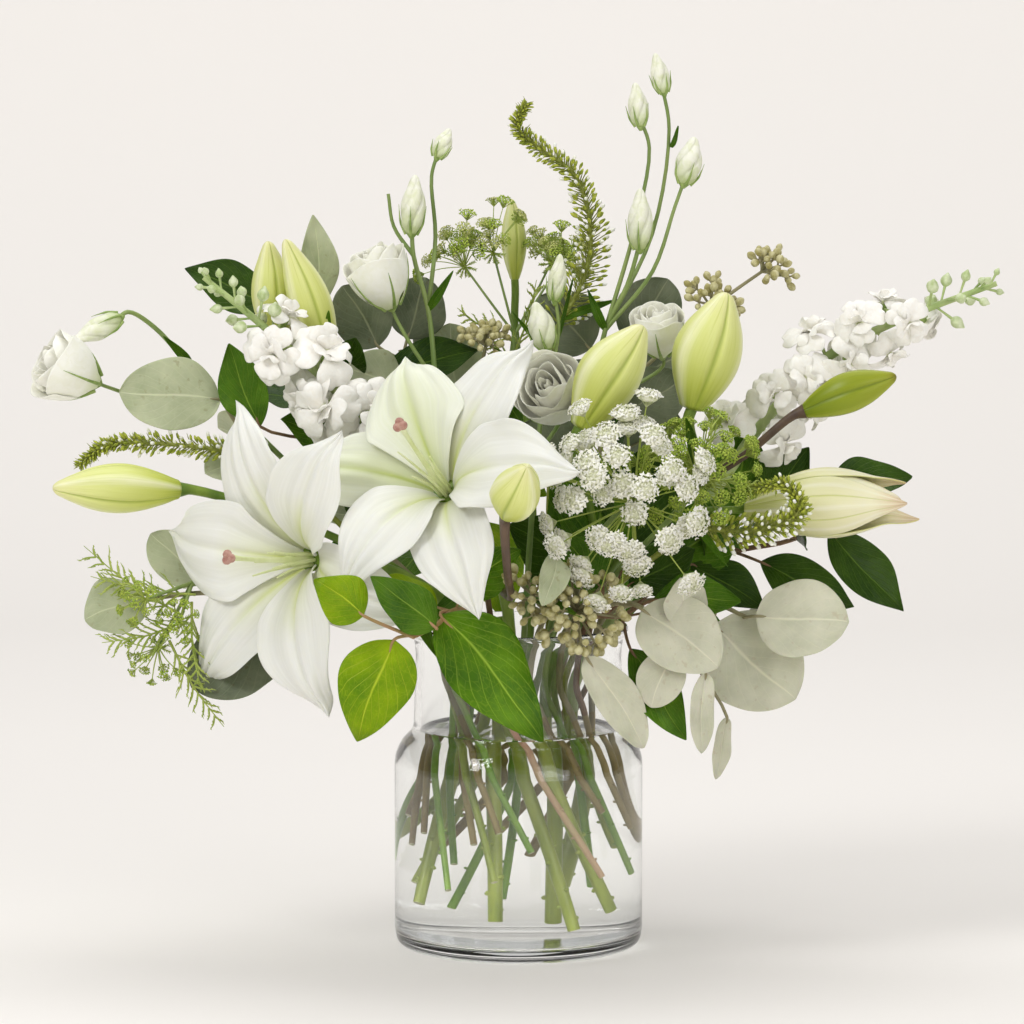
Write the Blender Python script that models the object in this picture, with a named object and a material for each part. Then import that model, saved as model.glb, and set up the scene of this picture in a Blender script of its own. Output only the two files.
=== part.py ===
"""A hand-tied bunch of white lilies with mixed foliage, standing in a glass jar vase of water.

The vase stands on the origin, +Z is up and -Y is the side that the open lilies face.
Sizes and places are in millimetres; every mesh is turned to metres as it is made.
Each cut plant is one body of its own, and so is each lily petal and each lily bud.
"""

import cmath
import math

import bmesh
import bpy
from mathutils import Matrix, Quaternion, Vector

MM = 0.001
GAP = 0.4  # clearance between pieces that touch
GOLDEN = math.radians(137.508)  # turn from one leaf, floret or ray to the next

# ---- vase and water ----
BODY_R = 68.5
NECK_R = 57.0
LIP_R = 60.5
VASE_H = 179.0
SHOULDER_Z = 106.0
NECK_Z = 122.0
GLASS = 3.2
FLOOR = 6.0
FOOT_ROUND = 9.0
WATER_Z = 121.0
VASE_SIDES = 32
RIM = 179.0  # the rim height that the plants' own points are given for

# ---- plants ----
LEAF_T = 1.0
PETAL_T = 1.0
LILY_BASE_R = 5.0
OVARY_R = 3.4
RECEPTACLE_R = 7.0
PISTIL = 72.0

COLOURS = {
    "glass": ((0.86, 0.90, 0.89), 0.05),
    "water": ((0.80, 0.88, 0.86), 0.05),
    "lily_petal": ((0.93, 0.93, 0.88), 0.45),
    "lily_pistil": ((0.75, 0.80, 0.45), 0.45),
    "lily_bud": ((0.62, 0.70, 0.25), 0.45),
    "green_stem": ((0.22, 0.36, 0.08), 0.5),
    "lisianthus": ((0.90, 0.92, 0.80), 0.5),
    "stock": ((0.92, 0.92, 0.90), 0.6),
    "lace": ((0.85, 0.88, 0.70), 0.7),
    "loosestrife": ((0.40, 0.50, 0.10), 0.6),
    "gum_leaf": ((0.42, 0.50, 0.38), 0.55),
    "gum_berry": ((0.60, 0.58, 0.30), 0.55),
    "salal_leaf": ((0.12, 0.25, 0.02), 0.35),
}


# ------------------------------------------------------------------ helpers


def clear_scene():
    for obj in list(bpy.data.objects):
        bpy.data.objects.remove(obj)


def material(name):
    found = bpy.data.materials.get(name)
    if found:
        return found
    made = bpy.data.materials.new(name)
    made.use_nodes = True
    colour, roughness = COLOURS[name]
    shader = made.node_tree.nodes["Principled BSDF"]
    shader.inputs["Base Color"].default_value = (*colour, 1.0)
    shader.inputs["Roughness"].default_value = roughness
    shader.inputs["Metallic"].default_value = 0.0
    return made


def new_object(name, mesh_data, finish):
    obj = bpy.data.objects.new(name, mesh_data)
    bpy.context.scene.collection.objects.link(obj)
    mesh_data.materials.append(material(finish))
    return obj


def on_rim(point):
    """A plant's point, moved up with the vase's rim: in full above it, and by share below it."""
    point = Vector(point)
    point.z += (VASE_H - RIM) * min(1.0, max(0.0, point.z / RIM))
    return point


def mesh_object(name, shape, finish, plant=True):
    """A scene object from a bmesh in millimetres."""
    for vert in shape.verts:
        if plant:
            vert.co = on_rim(vert.co)
    bmesh.ops.scale(shape, vec=(MM, MM, MM), verts=shape.verts)
    bmesh.ops.recalc_face_normals(shape, faces=shape.faces)
    made = bpy.data.meshes.new(name)
    shape.to_mesh(made)
    shape.free()
    made.shade_smooth()
    made.set_sharp_from_angle(angle=math.radians(40))
    return new_object(name, made, finish)


def smooth_path(points, count=None):
    """Points along a Catmull-Rom curve through the given ones: count of them, or each given one
    and the middle between. A last step under 8 mm stays straight."""
    knots = [Vector(p) for p in points]
    if not count and len(knots) > 2 and (knots[-1] - knots[-2]).length < 8:
        return [*smooth_path(knots[:-1]), knots[-1]]
    count = count or 2 * len(knots) - 1
    knots = [2 * knots[0] - knots[1], *knots, 2 * knots[-1] - knots[-2]]
    spans = len(knots) - 3
    path = []
    for i in range(count):
        at = i / (count - 1) * spans
        k = min(int(at), spans - 1)
        u = at - k
        a, b, c, d = knots[k : k + 4]
        path.append(
            0.5 * (2 * b + (c - a) * u + (2 * a - 5 * b + 4 * c - d) * u**2 + (3 * b - a - 3 * c + d) * u**3)
        )
    return path


def frames_along(path):
    """A side vector for each point of the path, turned as little as possible from one to the next."""
    ahead = [(path[min(i + 1, len(path) - 1)] - path[max(i - 1, 0)]).normalized() for i in range(len(path))]
    side = ahead[0].orthogonal().normalized()
    sides = []
    for i, direction in enumerate(ahead):
        if i:
            side = ahead[i - 1].rotation_difference(direction) @ side
        sides.append(side.copy())
    return ahead, sides


def loft(path, radii, sides):
    """A closed round body through the path, with one radius for each of its points."""
    shape = bmesh.new()
    ahead, across = frames_along(path)
    rings = []
    for point, direction, side, radius in zip(path, ahead, across, radii):
        turn = Matrix.Rotation(2 * math.pi / sides, 3, direction)
        spoke = side * radius
        ring = []
        for _ in range(sides):
            ring.append(shape.verts.new(point + spoke))
            spoke = turn @ spoke
        rings.append(ring)
    for low, high in zip(rings, rings[1:]):
        for i in range(sides):
            j = (i + 1) % sides
            shape.faces.new((low[i], low[j], high[j], high[i]))
    shape.faces.new(rings[0][::-1])
    shape.faces.new(rings[-1])
    return shape


def shares(profile, count):
    """The profile's values read at count even steps."""
    last = len(profile) - 1
    values = []
    for i in range(count):
        at = i / (count - 1) * last
        k = min(int(at), last - 1)
        values.append(profile[k] + (profile[k + 1] - profile[k]) * (at - k))
    return values


def rod(name, path, radius, finish="green_stem", sides=6, end_radius=None):
    """A stem or twig of even taper along the path."""
    path = [Vector(p) for p in path]
    end = radius if end_radius is None else end_radius
    return mesh_object(name, loft(path, shares((radius, end), len(path)), sides), finish)


def swollen(name, base, tip, profile, finish, sides=8, steps=None, sag=(0, 0, 0)):
    """A bud, berry or bloom: a round body from base to tip whose radii follow the profile."""
    base, tip = Vector(base), Vector(tip)
    path = smooth_path((base, (base + tip) / 2 + Vector(sag), tip), steps or len(profile))
    return mesh_object(name, loft(path, shares(profile, len(path)), sides), finish)


def sheet(name, grid, thickness, finish):
    """A thin closed body on a grid of points, such as a leaf or a petal."""
    shape = bmesh.new()
    rows = [[shape.verts.new(on_rim(p) * MM) for p in row] for row in grid]
    for low, high in zip(rows, rows[1:]):
        for i in range(len(low) - 1):
            shape.faces.new((low[i], low[i + 1], high[i + 1], high[i]))
    made = bpy.data.meshes.new(name)
    shape.to_mesh(made)
    shape.free()
    made.shade_smooth()
    obj = new_object(name, made, finish)
    wall = obj.modifiers.new("thickness", "SOLIDIFY")
    wall.thickness = thickness * MM
    wall.offset = 0
    return obj


OUTLINES = {  # share of the half width at even steps from base to tip
    "round": (0.10, 0.80, 1.0, 0.85, 0.16),
    "oval": (0.10, 0.86, 1.0, 0.66, 0.08),
    "lance": (0.12, 0.75, 1.0, 0.70, 0.10),
}


def blade_axes(base, tip, facing):
    side = (tip - base).cross(Vector(facing)).normalized()
    return side, side.cross(tip - base).normalized()


def leaf(name, base, tip, facing, width, outline, finish, bend=0.0, cup=0.0):
    """A leaf blade: bend lifts its middle towards facing, and cup lifts its edges."""
    base, tip, facing = Vector(base), Vector(tip), Vector(facing)
    side, normal = blade_axes(base, tip, facing)
    shape = OUTLINES[outline]
    grid = []
    for i, share in enumerate(shape):
        s = i / (len(shape) - 1)
        middle = base.lerp(tip, s) + normal * (bend * 4 * s * (1 - s))
        half = share * width / 2
        grid.append([middle + side * (half * t) + normal * (cup * share * t * t) for t in (-1, 0, 1)])
    return sheet(name, grid, LEAF_T, finish)


def fuse(name, pieces):
    """One body from pieces that overlap: the first takes the others in."""
    whole = pieces[0]
    whole.name = name
    if len(pieces) == 1:
        return whole
    group = bpy.data.collections.new(name + "_pieces")
    for piece in pieces[1:]:
        bpy.context.scene.collection.objects.unlink(piece)
        group.objects.link(piece)
        piece.hide_render = True
        piece.display_type = "WIRE"
    bpy.context.scene.collection.children.link(group)
    joined = whole.modifiers.new("grown together", "BOOLEAN")
    joined.operation = "UNION"
    joined.solver = "EXACT"
    joined.operand_type = "COLLECTION"
    joined.collection = group
    return whole


def leafy(name, path, leaves, finish, outline, radius=1.8, more=()):
    """A twig with leaves. A leaf is (joint on the twig, base, tip, facing, width, bend, cup)."""
    pieces = [rod(name + "_twig", path, radius, end_radius=radius * 0.6)]
    for i, (joint, base, tip, facing, width, bend, cup) in enumerate(leaves):
        base, tip = Vector(base), Vector(tip)
        inside = base.lerp(tip, 0.1) + blade_axes(base, tip, facing)[1] * (bend * 0.36)
        pieces.append(rod(f"{name}_stalk_{i}", (joint, base, inside), 0.9, sides=5))
        pieces.append(leaf(f"{name}_leaf_{i}", base, tip, facing, width, outline, finish, bend, cup))
    return fuse(name, pieces + list(more))


# ------------------------------------------------------------------ vase


def turned(name, profile, finish):
    """A round solid from an open profile of (radius, height) whose ends lie on the axis."""
    shape = bmesh.new()
    rings = []
    for radius, height in profile:
        if radius == 0:
            rings.append([shape.verts.new((0, 0, height))])
            continue
        turns = (2 * math.pi * i / VASE_SIDES for i in range(VASE_SIDES))
        rings.append([shape.verts.new((radius * math.cos(a), radius * math.sin(a), height)) for a in turns])
    for low, high in zip(rings, rings[1:]):
        for i in range(VASE_SIDES):
            j = (i + 1) % VASE_SIDES
            corners = [low[i % len(low)], low[j % len(low)], high[j % len(high)], high[i % len(high)]]
            shape.faces.new(list(dict.fromkeys(corners)))
    return mesh_object(name, shape, finish, plant=False)


def outer_wall(inset):
    """The vase's side from floor to lip, moved in by inset: foot round, body, shoulder, neck."""
    body, neck = BODY_R - inset, NECK_R - inset
    round_r = FOOT_ROUND - inset / 2
    floor = 0 if inset == 0 else FLOOR
    foot = [
        (body - round_r * (1 - math.sin(a)), floor + round_r * (1 - math.cos(a)))
        for a in (math.radians(d) for d in (0, 30, 60, 90))
    ]
    mid_r, mid_z = (body + neck) / 2, (SHOULDER_Z + NECK_Z) / 2
    shoulder = [(body, SHOULDER_Z), (body - 2.5, mid_z - 3), (mid_r, mid_z + 1), (neck, NECK_Z)]
    return foot + shoulder


def vase():
    outside = outer_wall(0) + [(NECK_R, VASE_H - 9), (LIP_R, VASE_H - 3), (LIP_R - 0.6, VASE_H - 0.5)]
    inside = outer_wall(GLASS) + [(NECK_R - GLASS, VASE_H - 8), (LIP_R - GLASS, VASE_H - 1.5)]
    profile = [(0, 0), *outside, (LIP_R - GLASS / 2, VASE_H), *reversed(inside), (0, FLOOR)]
    return turned("vase", profile, "glass")


def water(cutters):
    side = [(r, z) for r, z in outer_wall(GLASS + GAP) if z < WATER_Z]
    side = [(r, z + GAP) for r, z in side[:1]] + side[1:]
    top_r = NECK_R - GLASS - GAP
    made = turned("water", [(0, FLOOR + GAP), *side, (top_r, WATER_Z), (0, WATER_Z)], "water")
    group = bpy.data.collections.new("stems_in_water")
    bpy.context.scene.collection.children.link(group)
    for cutter in cutters:
        bpy.context.scene.collection.objects.unlink(cutter)
        group.objects.link(cutter)
        cutter.hide_render = True
        cutter.display_type = "WIRE"
    cut = made.modifiers.new("room for the stems", "BOOLEAN")
    cut.operation = "DIFFERENCE"
    cut.solver = "EXACT"
    cut.operand_type = "COLLECTION"
    cut.collection = group
    return made


# ------------------------------------------------------------------ lilies


class Flower:
    """Where an open lily sits: its heart, the way it faces, and its own up and right."""

    def __init__(self, heart, facing):
        self.heart = Vector(heart)
        self.facing = Vector(facing).normalized()
        up = Vector((0, 0, 1))
        self.up = (up - self.facing * self.facing.z).normalized()
        self.right = self.up.cross(self.facing)

    def point(self, forward, outward, turn):
        spoke = self.up * math.cos(turn) + self.right * math.sin(turn)
        return self.heart + self.facing * forward + spoke * outward


LILY_LEFT = Flower((-112, -60, 222), (-0.6, -0.78, 0.02))
LILY_CENTRE = Flower((-39, -75, 260), (-0.36, -0.78, 0.52))

# (turn about the facing direction in degrees, length, width, lean at the tip in degrees, inner whorl)
PETALS_LEFT = (
    (-26, 98, 42, 112, False),
    (28, 94, 50, 104, True),
    (105, 96, 42, 118, False),
    (155, 102, 52, 98, True),
    (220, 101, 42, 108, False),
    (277, 93, 58, 108, True),
)
PETALS_CENTRE = (
    (-26, 86, 60, 104, True),
    (26, 96, 42, 108, False),
    (88, 100, 54, 104, True),
    (150, 96, 46, 112, False),
    (203, 93, 46, 98, True),
    (270, 92, 44, 116, False),
)
PETAL_ROWS = 7
WRAP = 0.78  # the most that a petal reaches round the flower to each side, in radians
PETAL_LEAN_START = {True: 20, False: 30}
PETAL_START_OUT = {True: LILY_BASE_R, False: LILY_BASE_R + 1.9}


def petal(name, flower, turn, length, width, lean, inner):
    """A lily petal: it leaves the heart nearly along the facing direction and leans out to its tip.
    Across, it follows the round of the flower, so the inner whorl lies inside the outer."""
    turn = math.radians(turn)
    forward, outward = 0.6, PETAL_START_OUT[inner]
    start = PETAL_LEAN_START[inner]
    step = length / (PETAL_ROWS - 1)
    grid = []
    for i in range(PETAL_ROWS):
        s = i / (PETAL_ROWS - 1)
        half = 2.2 * (1 - s) + width / 2 * max(0.0, math.sin(math.pi * s**0.9)) ** 0.8 + 0.6
        row = []
        for t in (-1, -0.5, 0, 0.5, 1):
            row.append(flower.point(forward, outward, turn + t * min(half / outward, WRAP)))
        grid.append(row)
        angle = math.radians(start + (lean - start) * min(1.0, (s + 0.5 / PETAL_ROWS) * 1.15))
        forward += math.cos(angle) * step
        outward += math.sin(angle) * step
    return sheet(name, grid, PETAL_T, "lily_petal")


def pistil(name, flower):
    """Ovary, style and three-lobed stigma, standing in the flower's heart."""
    ahead = (1, 10, 20, 24, 40, 56, PISTIL - 7, PISTIL - 4, PISTIL)
    radii = (2.8, OVARY_R, OVARY_R, 1.6, 1.3, 1.3, 1.6, 4.2, 3.4)
    path = [flower.heart + flower.facing * a + flower.up * (0.02 * a) for a in ahead]
    return mesh_object(name, loft(path, radii, 6), "lily_pistil")


def open_lily(side, flower, petals):
    for i, values in enumerate(petals):
        petal(f"lily_{side}_petal_{i + 1}", flower, *values)
    pistil(f"lily_{side}_pistil", flower)


def neck_below(flower):
    """The end of a stem that carries an open lily: it swells into the receptacle."""
    steps = (26, 12, 5, 2.5, GAP / 2)
    return [flower.heart - flower.facing * back for back in steps]


BUD = (0.30, 0.62, 0.88, 1.0, 0.96, 0.74, 0.38, 0.14)  # share of the fullest radius


def lily_bud(name, base, tip, radius, sag=(0, 0, 0)):
    return swollen(name, base, tip, [radius * b for b in BUD], "lily_bud", sides=9, sag=sag)


LILY_BUDS = {
    "lily_bud_far_left": ((-184, -25, 256), (-253, -45, 259), 13.5, (0, 0, 1)),
    "lily_bud_front": ((-6, -145, 255), (4, -181, 284), 13.0, (0, 0, 0)),
    "lily_bud_tall_left": ((33, -58, 292), (67, -50, 348), 17.0, (-2, 0, 2)),
    "lily_bud_tall_right": ((94, -30, 300), (113, -26, 364), 18.5, (-2, 0, 0)),
    "lily_bud_green": ((154, -50, 301), (204, -55, 321), 11.0, (0, 0, 1)),
    "lily_bud_opening": ((124, -32, 246), (210, -52, 253), 19.0, (0, 0, 1)),
    "lily_bud_upper_left": ((-133, 27, 331), (-138, 18, 389), 11.5, (-1, 0, 0)),
    "lily_bud_upper_right": ((-104, 16, 318), (-128, 3, 391), 11.5, (1, 0, 1)),
    "lily_bud_back": ((-2, 92, 362), (-4, 90, 408), 7.0, (0, 0, 0)),
}


# ------------------------------------------------------------------ stems

# Each stem: the height of its cut foot, then its way up from its place in the vase's neck.
NECK_MID = 150
STEMS = {
    "lily_left": (14, (-14, -18, 150), (-44, -16, 196)),
    "lily_centre": (22, (-2, -28, 150), (-8, -30, 200)),
    "lily_right": (12, (16, -6, 150), (46, -14, 206), (80, -24, 244), (98, -30, 260)),
    "lily_upper": (26, (-12, 29, 150), (-60, 26, 232), (-95, 24, 286), (-114, 22, 308)),
    "lily_back": (34, (4, 30, 150), (8, 52, 205), (6, 74, 275), (-2, 88, 335)),
    "lisianthus_left": (38, (-36, 18, 150), (-46, 22, 186), (-88, 28, 226), (-142, 36, 278), (-182, 40, 318)),
    "lisianthus_upper": (50, (-24, 17, 150), (-42, 26, 240), (-46, 32, 310), (-50, 34, 350)),
    "lisianthus_tall": (20, (12, 18, 150), (30, 24, 230), (42, 30, 300), (48, 30, 339)),
    "lisianthus_centre": (28, (2, 5, 150), (6, 6, 220), (10, 12, 270), (14, 16, 306)),
    "stock_left": (18, (-12, 5, 150), (-48, -2, 216), (-72, -12, 270)),
    "stock_right": (30, (32, -3, 150), (68, 0, 205), (106, 2, 250)),
    "lace_white": (40, (14, -33, 150), (28, -54, 205), (52, -68, 246)),
    "lace_green": (32, (20, -15, 150), (50, -30, 206), (84, -46, 244)),
    "lace_top": (46, (-4, 43, 150), (-9, 48, 230), (-6, 56, 300)),
    "lace_left": (60, (-36, -22, 150), (-45, -27, 188), (-108, -32, 204), (-160, -34, 206)),
    "loosestrife_top": (36, (14, 41, 150), (17, 43, 240), (20, 45, 320)),
    "loosestrife_left": (44, (-40, -2, 150), (-49, -2, 184), (-78, 0, 214), (-120, 2, 255)),
    "loosestrife_right": (54, (25, -23, 150), (46, -35, 196), (80, -62, 228)),
    "gum_left": (62, (-31, 6, 150), (-44, 12, 186), (-88, 20, 228), (-140, 16, 266), (-160, 10, 296)),
    "gum_low_left": (70, (-40, -12, 150), (-48, -14, 187), (-110, -20, 200), (-150, -30, 200)),
    "gum_back_left": (58, (-20, 36, 150), (-40, 48, 240), (-60, 52, 306)),
    "gum_back_right": (48, (25, 31, 150), (38, 48, 232), (52, 58, 300)),
    "gum_right": (66, (22, -38, 150), (28, -47, 185), (60, -79, 200), (80, -88, 190)),
    "gum_far_right": (40, (40, -18, 150), (47, -22, 186), (100, -48, 198), (124, -60, 190)),
    "gum_front": (78, (6, -42, 150), (13, -49, 186), (30, -80, 203)),
    "salal_front": (44, (-15, -38, 150), (-20, -47, 186), (-34, -84, 197), (-45, -114, 192), (-56, -136, 189)),
    "salal_left": (66, (-31, 29, 150), (-38, 36, 186), (-74, 46, 240), (-108, 56, 306)),
    "salal_right": (46, (41, 10, 150), (49, 10, 186), (116, 2, 218), (150, -4, 226)),
    "salal_back_left": (72, (-13, 41, 150), (-17, 48, 186), (-26, 78, 232), (-34, 96, 258)),
    "salal_back_right": (60, (36, 22, 150), (42, 28, 186), (60, 66, 226), (72, 86, 246)),
    "salal_low_right": (74, (31, -31, 150), (38, -36, 185), (56, -58, 190)),
}
TWIST = math.radians(85)  # the turn that the bunch takes from the neck down to the vase's floor
SPREAD = 1.7  # how much wider it stands there
STEM_R = {
    "lily": 3.2,
    "stock": 3.4,
    "lisianthus": 1.8,
    "lace": 1.8,
    "loosestrife": 2.0,
    "gum": 1.8,
    "salal": 1.8,
}


def stem_radius(name):
    return STEM_R[name.split("_")[0]]


def foot(name):
    """The cut end of a stem. The whole bunch turns and spreads below the neck, so no two cross."""
    height, (x, y, top) = STEMS[name][0], STEMS[name][1]
    down = (top - height) / (top - FLOOR)
    turn = (1 - down) + down * SPREAD * cmath.exp(1j * TWIST)
    place = turn * complex(x, y)
    return Vector((place.real, place.imag, height))


def stem_path(name, *more):
    """Straight up through the water, then curving on by way of the stem's own points."""
    return [foot(name), *smooth_path([*STEMS[name][1:], *more])]


def stem_room(name):
    """The room that a stem takes in the water: its own shape and the gap round it."""
    low, high = foot(name), Vector(STEMS[name][1])
    along = (high - low).normalized()
    radius = stem_radius(name) + GAP
    return mesh_object(name + "_room", loft([low - along * GAP, high], [radius] * 2, 6), "water")


def branching(name, stem, branches, radius, branch_radius, finish="green_stem", more=()):
    """A stem with side branches, each through points of which the first lies inside the stem."""
    pieces = [rod(name + "_main", stem, radius, finish)]
    for i, branch in enumerate(branches):
        path = smooth_path(branch)
        pieces.append(rod(f"{name}_branch_{i}", path, branch_radius, finish, sides=5))
    return fuse(name, pieces + list(more))


def short_of(base, tip):
    """The last two points of a stem that ends just before base, in line with the tip."""
    base, tip = Vector(base), Vector(tip)
    back = (base - tip).normalized()
    return base + back * 6, base + back * GAP


def under_bud(bud):
    base, tip = LILY_BUDS[bud][:2]
    return short_of(base, tip)


def lily_stem(side, flower, branches):
    """A lily's stem, widening into the receptacle that carries the petals."""
    last = neck_below(flower)
    path = stem_path("lily_" + side, last[0]) + last[1:]
    radii = [STEM_R["lily"]] * (len(path) - 4) + [3.6, 5.2, RECEPTACLE_R, RECEPTACLE_R + 0.4]
    main = mesh_object(f"lily_stem_{side}_main", loft(path, radii, 6), "green_stem")
    pieces = [main]
    for i, branch in enumerate(branches):
        pieces.append(rod(f"lily_stem_{side}_branch_{i}", smooth_path(branch), 2.4))
    return fuse("lily_stem_" + side, pieces)


def lily_stems():
    left, centre = STEMS["lily_left"][1], STEMS["lily_centre"][2]
    far = (left, (-50, -6, 198), (-120, -8, 236), *under_bud("lily_bud_far_left"))
    lily_stem("left", LILY_LEFT, [far])
    lily_stem("centre", LILY_CENTRE, [(centre, (-4, -80, 204), (-6, -124, 222), *under_bud("lily_bud_front"))])
    knots = STEMS["lily_right"]
    branches = (
        (knots[2], (38, -36, 252), *under_bud("lily_bud_tall_left")),
        (knots[4], (122, -42, 276), *under_bud("lily_bud_green")),
        (knots[3], *under_bud("lily_bud_opening")),
    )
    branching(
        "lily_stem_right",
        stem_path("lily_right", *under_bud("lily_bud_tall_right")),
        branches,
        STEM_R["lily"],
        2.4,
    )
    branching(
        "lily_stem_upper",
        stem_path("lily_upper", *under_bud("lily_bud_upper_left")),
        [(STEMS["lily_upper"][-1], *under_bud("lily_bud_upper_right"))],
        STEM_R["lily"],
        2.4,
    )
    branching("lily_stem_back", stem_path("lily_back", *under_bud("lily_bud_back")), [], 2.2, 2.2)


# ------------------------------------------------------------------ lisianthus

SMALL_BUD = (0.45, 0.9, 1.0, 0.75, 0.15)
CUP = (0.28, 0.62, 0.84, 0.96, 1.0, 0.86)


def small_bud(name, base, tip, radius):
    return swollen(name, base, tip, [radius * b for b in SMALL_BUD], "lisianthus", sides=7)


def lisianthus_bloom(name, base, tip, radius):
    return swollen(name, base, tip, [radius * b for b in CUP], "lisianthus", sides=10)


BLOOMS = {
    "lisianthus_bloom_left": ((-232, 15, 311), (-262, 5, 325), 17.5),
    "lisianthus_bloom_upper": ((-70, 24, 352), (-82, 19, 384), 16.5),
    "lisianthus_bloom_centre": ((24, 2, 298), (13, -34, 317), 18.5),
    "lisianthus_bloom_right": ((79, 14, 326), (75, 4, 352), 14.0),
}


def under_bloom(bloom):
    base, tip = BLOOMS[bloom][:2]
    return short_of(base, tip)


def lisianthus():
    for name, (base, tip, radius) in BLOOMS.items():
        lisianthus_bloom(name, base, tip, radius)
    spray = "lisianthus_spray_"
    branching(
        spray + "left",
        stem_path("lisianthus_left", (-202, 38, 340), (-216, 30, 349), (-222, 27, 345)),
        [(STEMS["lisianthus_left"][-1], (-210, 28, 304), *under_bloom("lisianthus_bloom_left"))],
        1.8,
        1.2,
        more=[small_bud(spray + "left_bud", (-220, 28, 346), (-245, 19, 334), 7.0)],
    )
    branching(
        spray + "upper",
        stem_path("lisianthus_upper", (-58, 32, 380), (-59, 30, 396)),
        [
            ((-50, 34, 350), (-46, 38, 390), (-48, 35, 424), (-44, 36, 438)),
            ((-46, 32, 310), (-60, 26, 332), *under_bloom("lisianthus_bloom_upper")),
            ((-58, 32, 380), (-69, 36, 396), (-72, 36, 414)),
        ],
        1.8,
        1.2,
        more=[
            small_bud(spray + "upper_bud_1", (-59, 30, 392), (-57, 28, 425), 7.5),
            small_bud(spray + "upper_bud_2", (-45, 36, 434), (-38, 38, 450), 5.5),
        ],
    )
    branching(
        spray + "tall",
        stem_path("lisianthus_tall", (60, 26, 364), (67, 22, 388)),
        [
            ((48, 30, 339), (64, 31, 394), (72, 25, 440), (67, 22, 456)),
            ((48, 30, 339), (74, 36, 392), (83, 30, 450), (79, 27, 474)),
            ((48, 30, 339), (74, 24, 372), (86, 25, 407), (92, 25, 424)),
            ((42, 30, 300), (62, 22, 308), *under_bloom("lisianthus_bloom_right")),
        ],
        1.8,
        1.2,
        more=[
            small_bud(spray + "tall_bud_1", (67, 22, 384), (67, 20, 418), 7.5),
            small_bud(spray + "tall_bud_2", (67, 22, 452), (64, 21, 476), 6.0),
            small_bud(spray + "tall_bud_3", (80, 27, 470), (75, 25, 492), 5.5),
            small_bud(spray + "tall_bud_4", (91, 25, 420), (97, 25, 446), 8.0),
        ],
    )
    branching(
        spray + "centre",
        stem_path("lisianthus_centre", (16, 12, 334)),
        [
            ((14, 16, 306), (22, 20, 338), (20, 18, 360)),
            ((10, 12, 270), *under_bloom("lisianthus_bloom_centre")),
        ],
        1.8,
        1.2,
        more=[
            small_bud(spray + "centre_bud_1", (16, 12, 330), (9, 10, 356), 8.0),
            small_bud(spray + "centre_bud_2", (20, 18, 356), (23, 17, 382), 5.5),
        ],
    )


# ------------------------------------------------------------------ stocks


def ball(name, centre, radius, finish, detail=1):
    shape = bmesh.new()
    bmesh.ops.create_icosphere(shape, subdivisions=detail, radius=radius)
    bmesh.ops.translate(shape, vec=Vector(centre), verts=shape.verts)
    return mesh_object(name, shape, finish)


def stock(name, spike, florets, first, last, buds):
    """A stock: double florets set spirally along the spike, then small buds to its tip."""
    pieces = [rod(name + "_spike", spike, STEM_R["stock"], end_radius=1.6)]
    path = smooth_path(spike[1:], 61)
    ahead, across = frames_along(path)
    for i in range(florets + buds):
        at = first + (last - first) * i / (florets - 1) if i < florets else last
        if i >= florets:
            at = last + (0.97 - last) * (i - florets + 1) / buds
        k = round(at * 60)
        radius = 15.0 - 3.0 * i / florets if i < florets else 5.0
        spoke = Quaternion(ahead[k], GOLDEN * i) @ across[k]
        centre = path[k] + spoke * (radius * 0.72) + ahead[k] * 2
        pieces.append(ball(f"{name}_floret_{i}", centre, radius, "stock"))
    return fuse(name, pieces)


def stocks():
    left = stem_path("stock_left", (-95, -20, 305), (-134, -14, 340), (-172, -10, 371))
    right = stem_path("stock_right", (136, 4, 292), (171, 5, 327), (210, 3, 347), (262, 0, 367))
    stock("stock_left", left, 7, 0.56, 0.80, 4)
    stock("stock_right", right, 12, 0.40, 0.86, 3)


# ------------------------------------------------------------------ laces and berries


def rays(name, hub, axis, ray, tip, cap, finish, hub_r=2.6, detail=2, belly=(1.0, 0.5)):
    """An umbel: thin rays grown from the faces of a small hub that lie within cap degrees of the
    axis. Each widens at its end into a head or a berry of radius tip."""
    shape = bmesh.new()
    bmesh.ops.create_icosphere(shape, subdivisions=detail, radius=hub_r)
    turn = Vector((0, 0, 1)).rotation_difference(Vector(axis))
    bmesh.ops.rotate(shape, cent=(0, 0, 0), matrix=turn.to_matrix(), verts=shape.verts)
    heading = Vector(axis).normalized()
    faces = [f for f in shape.faces if f.normal.dot(heading) > math.cos(math.radians(cap))]
    bmesh.ops.inset_individual(shape, faces=faces, thickness=hub_r * 0.12)
    steps = (
        (ray - tip * 1.2, 0.8),
        (ray - tip * 0.4, tip * belly[0]),
        (ray + tip * 0.5, tip * belly[1]),
    )
    for distance, radius in steps:
        faces = bmesh.ops.extrude_discrete_faces(shape, faces=faces)["faces"]
        for face in faces:
            centre = face.calc_center_median()
            out = centre.normalized()
            for vert in face.verts:
                vert.co = out * distance + (vert.co - centre).normalized() * radius
    bmesh.ops.translate(shape, vec=Vector(hub), verts=shape.verts)
    return mesh_object(name, shape, finish)


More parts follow.
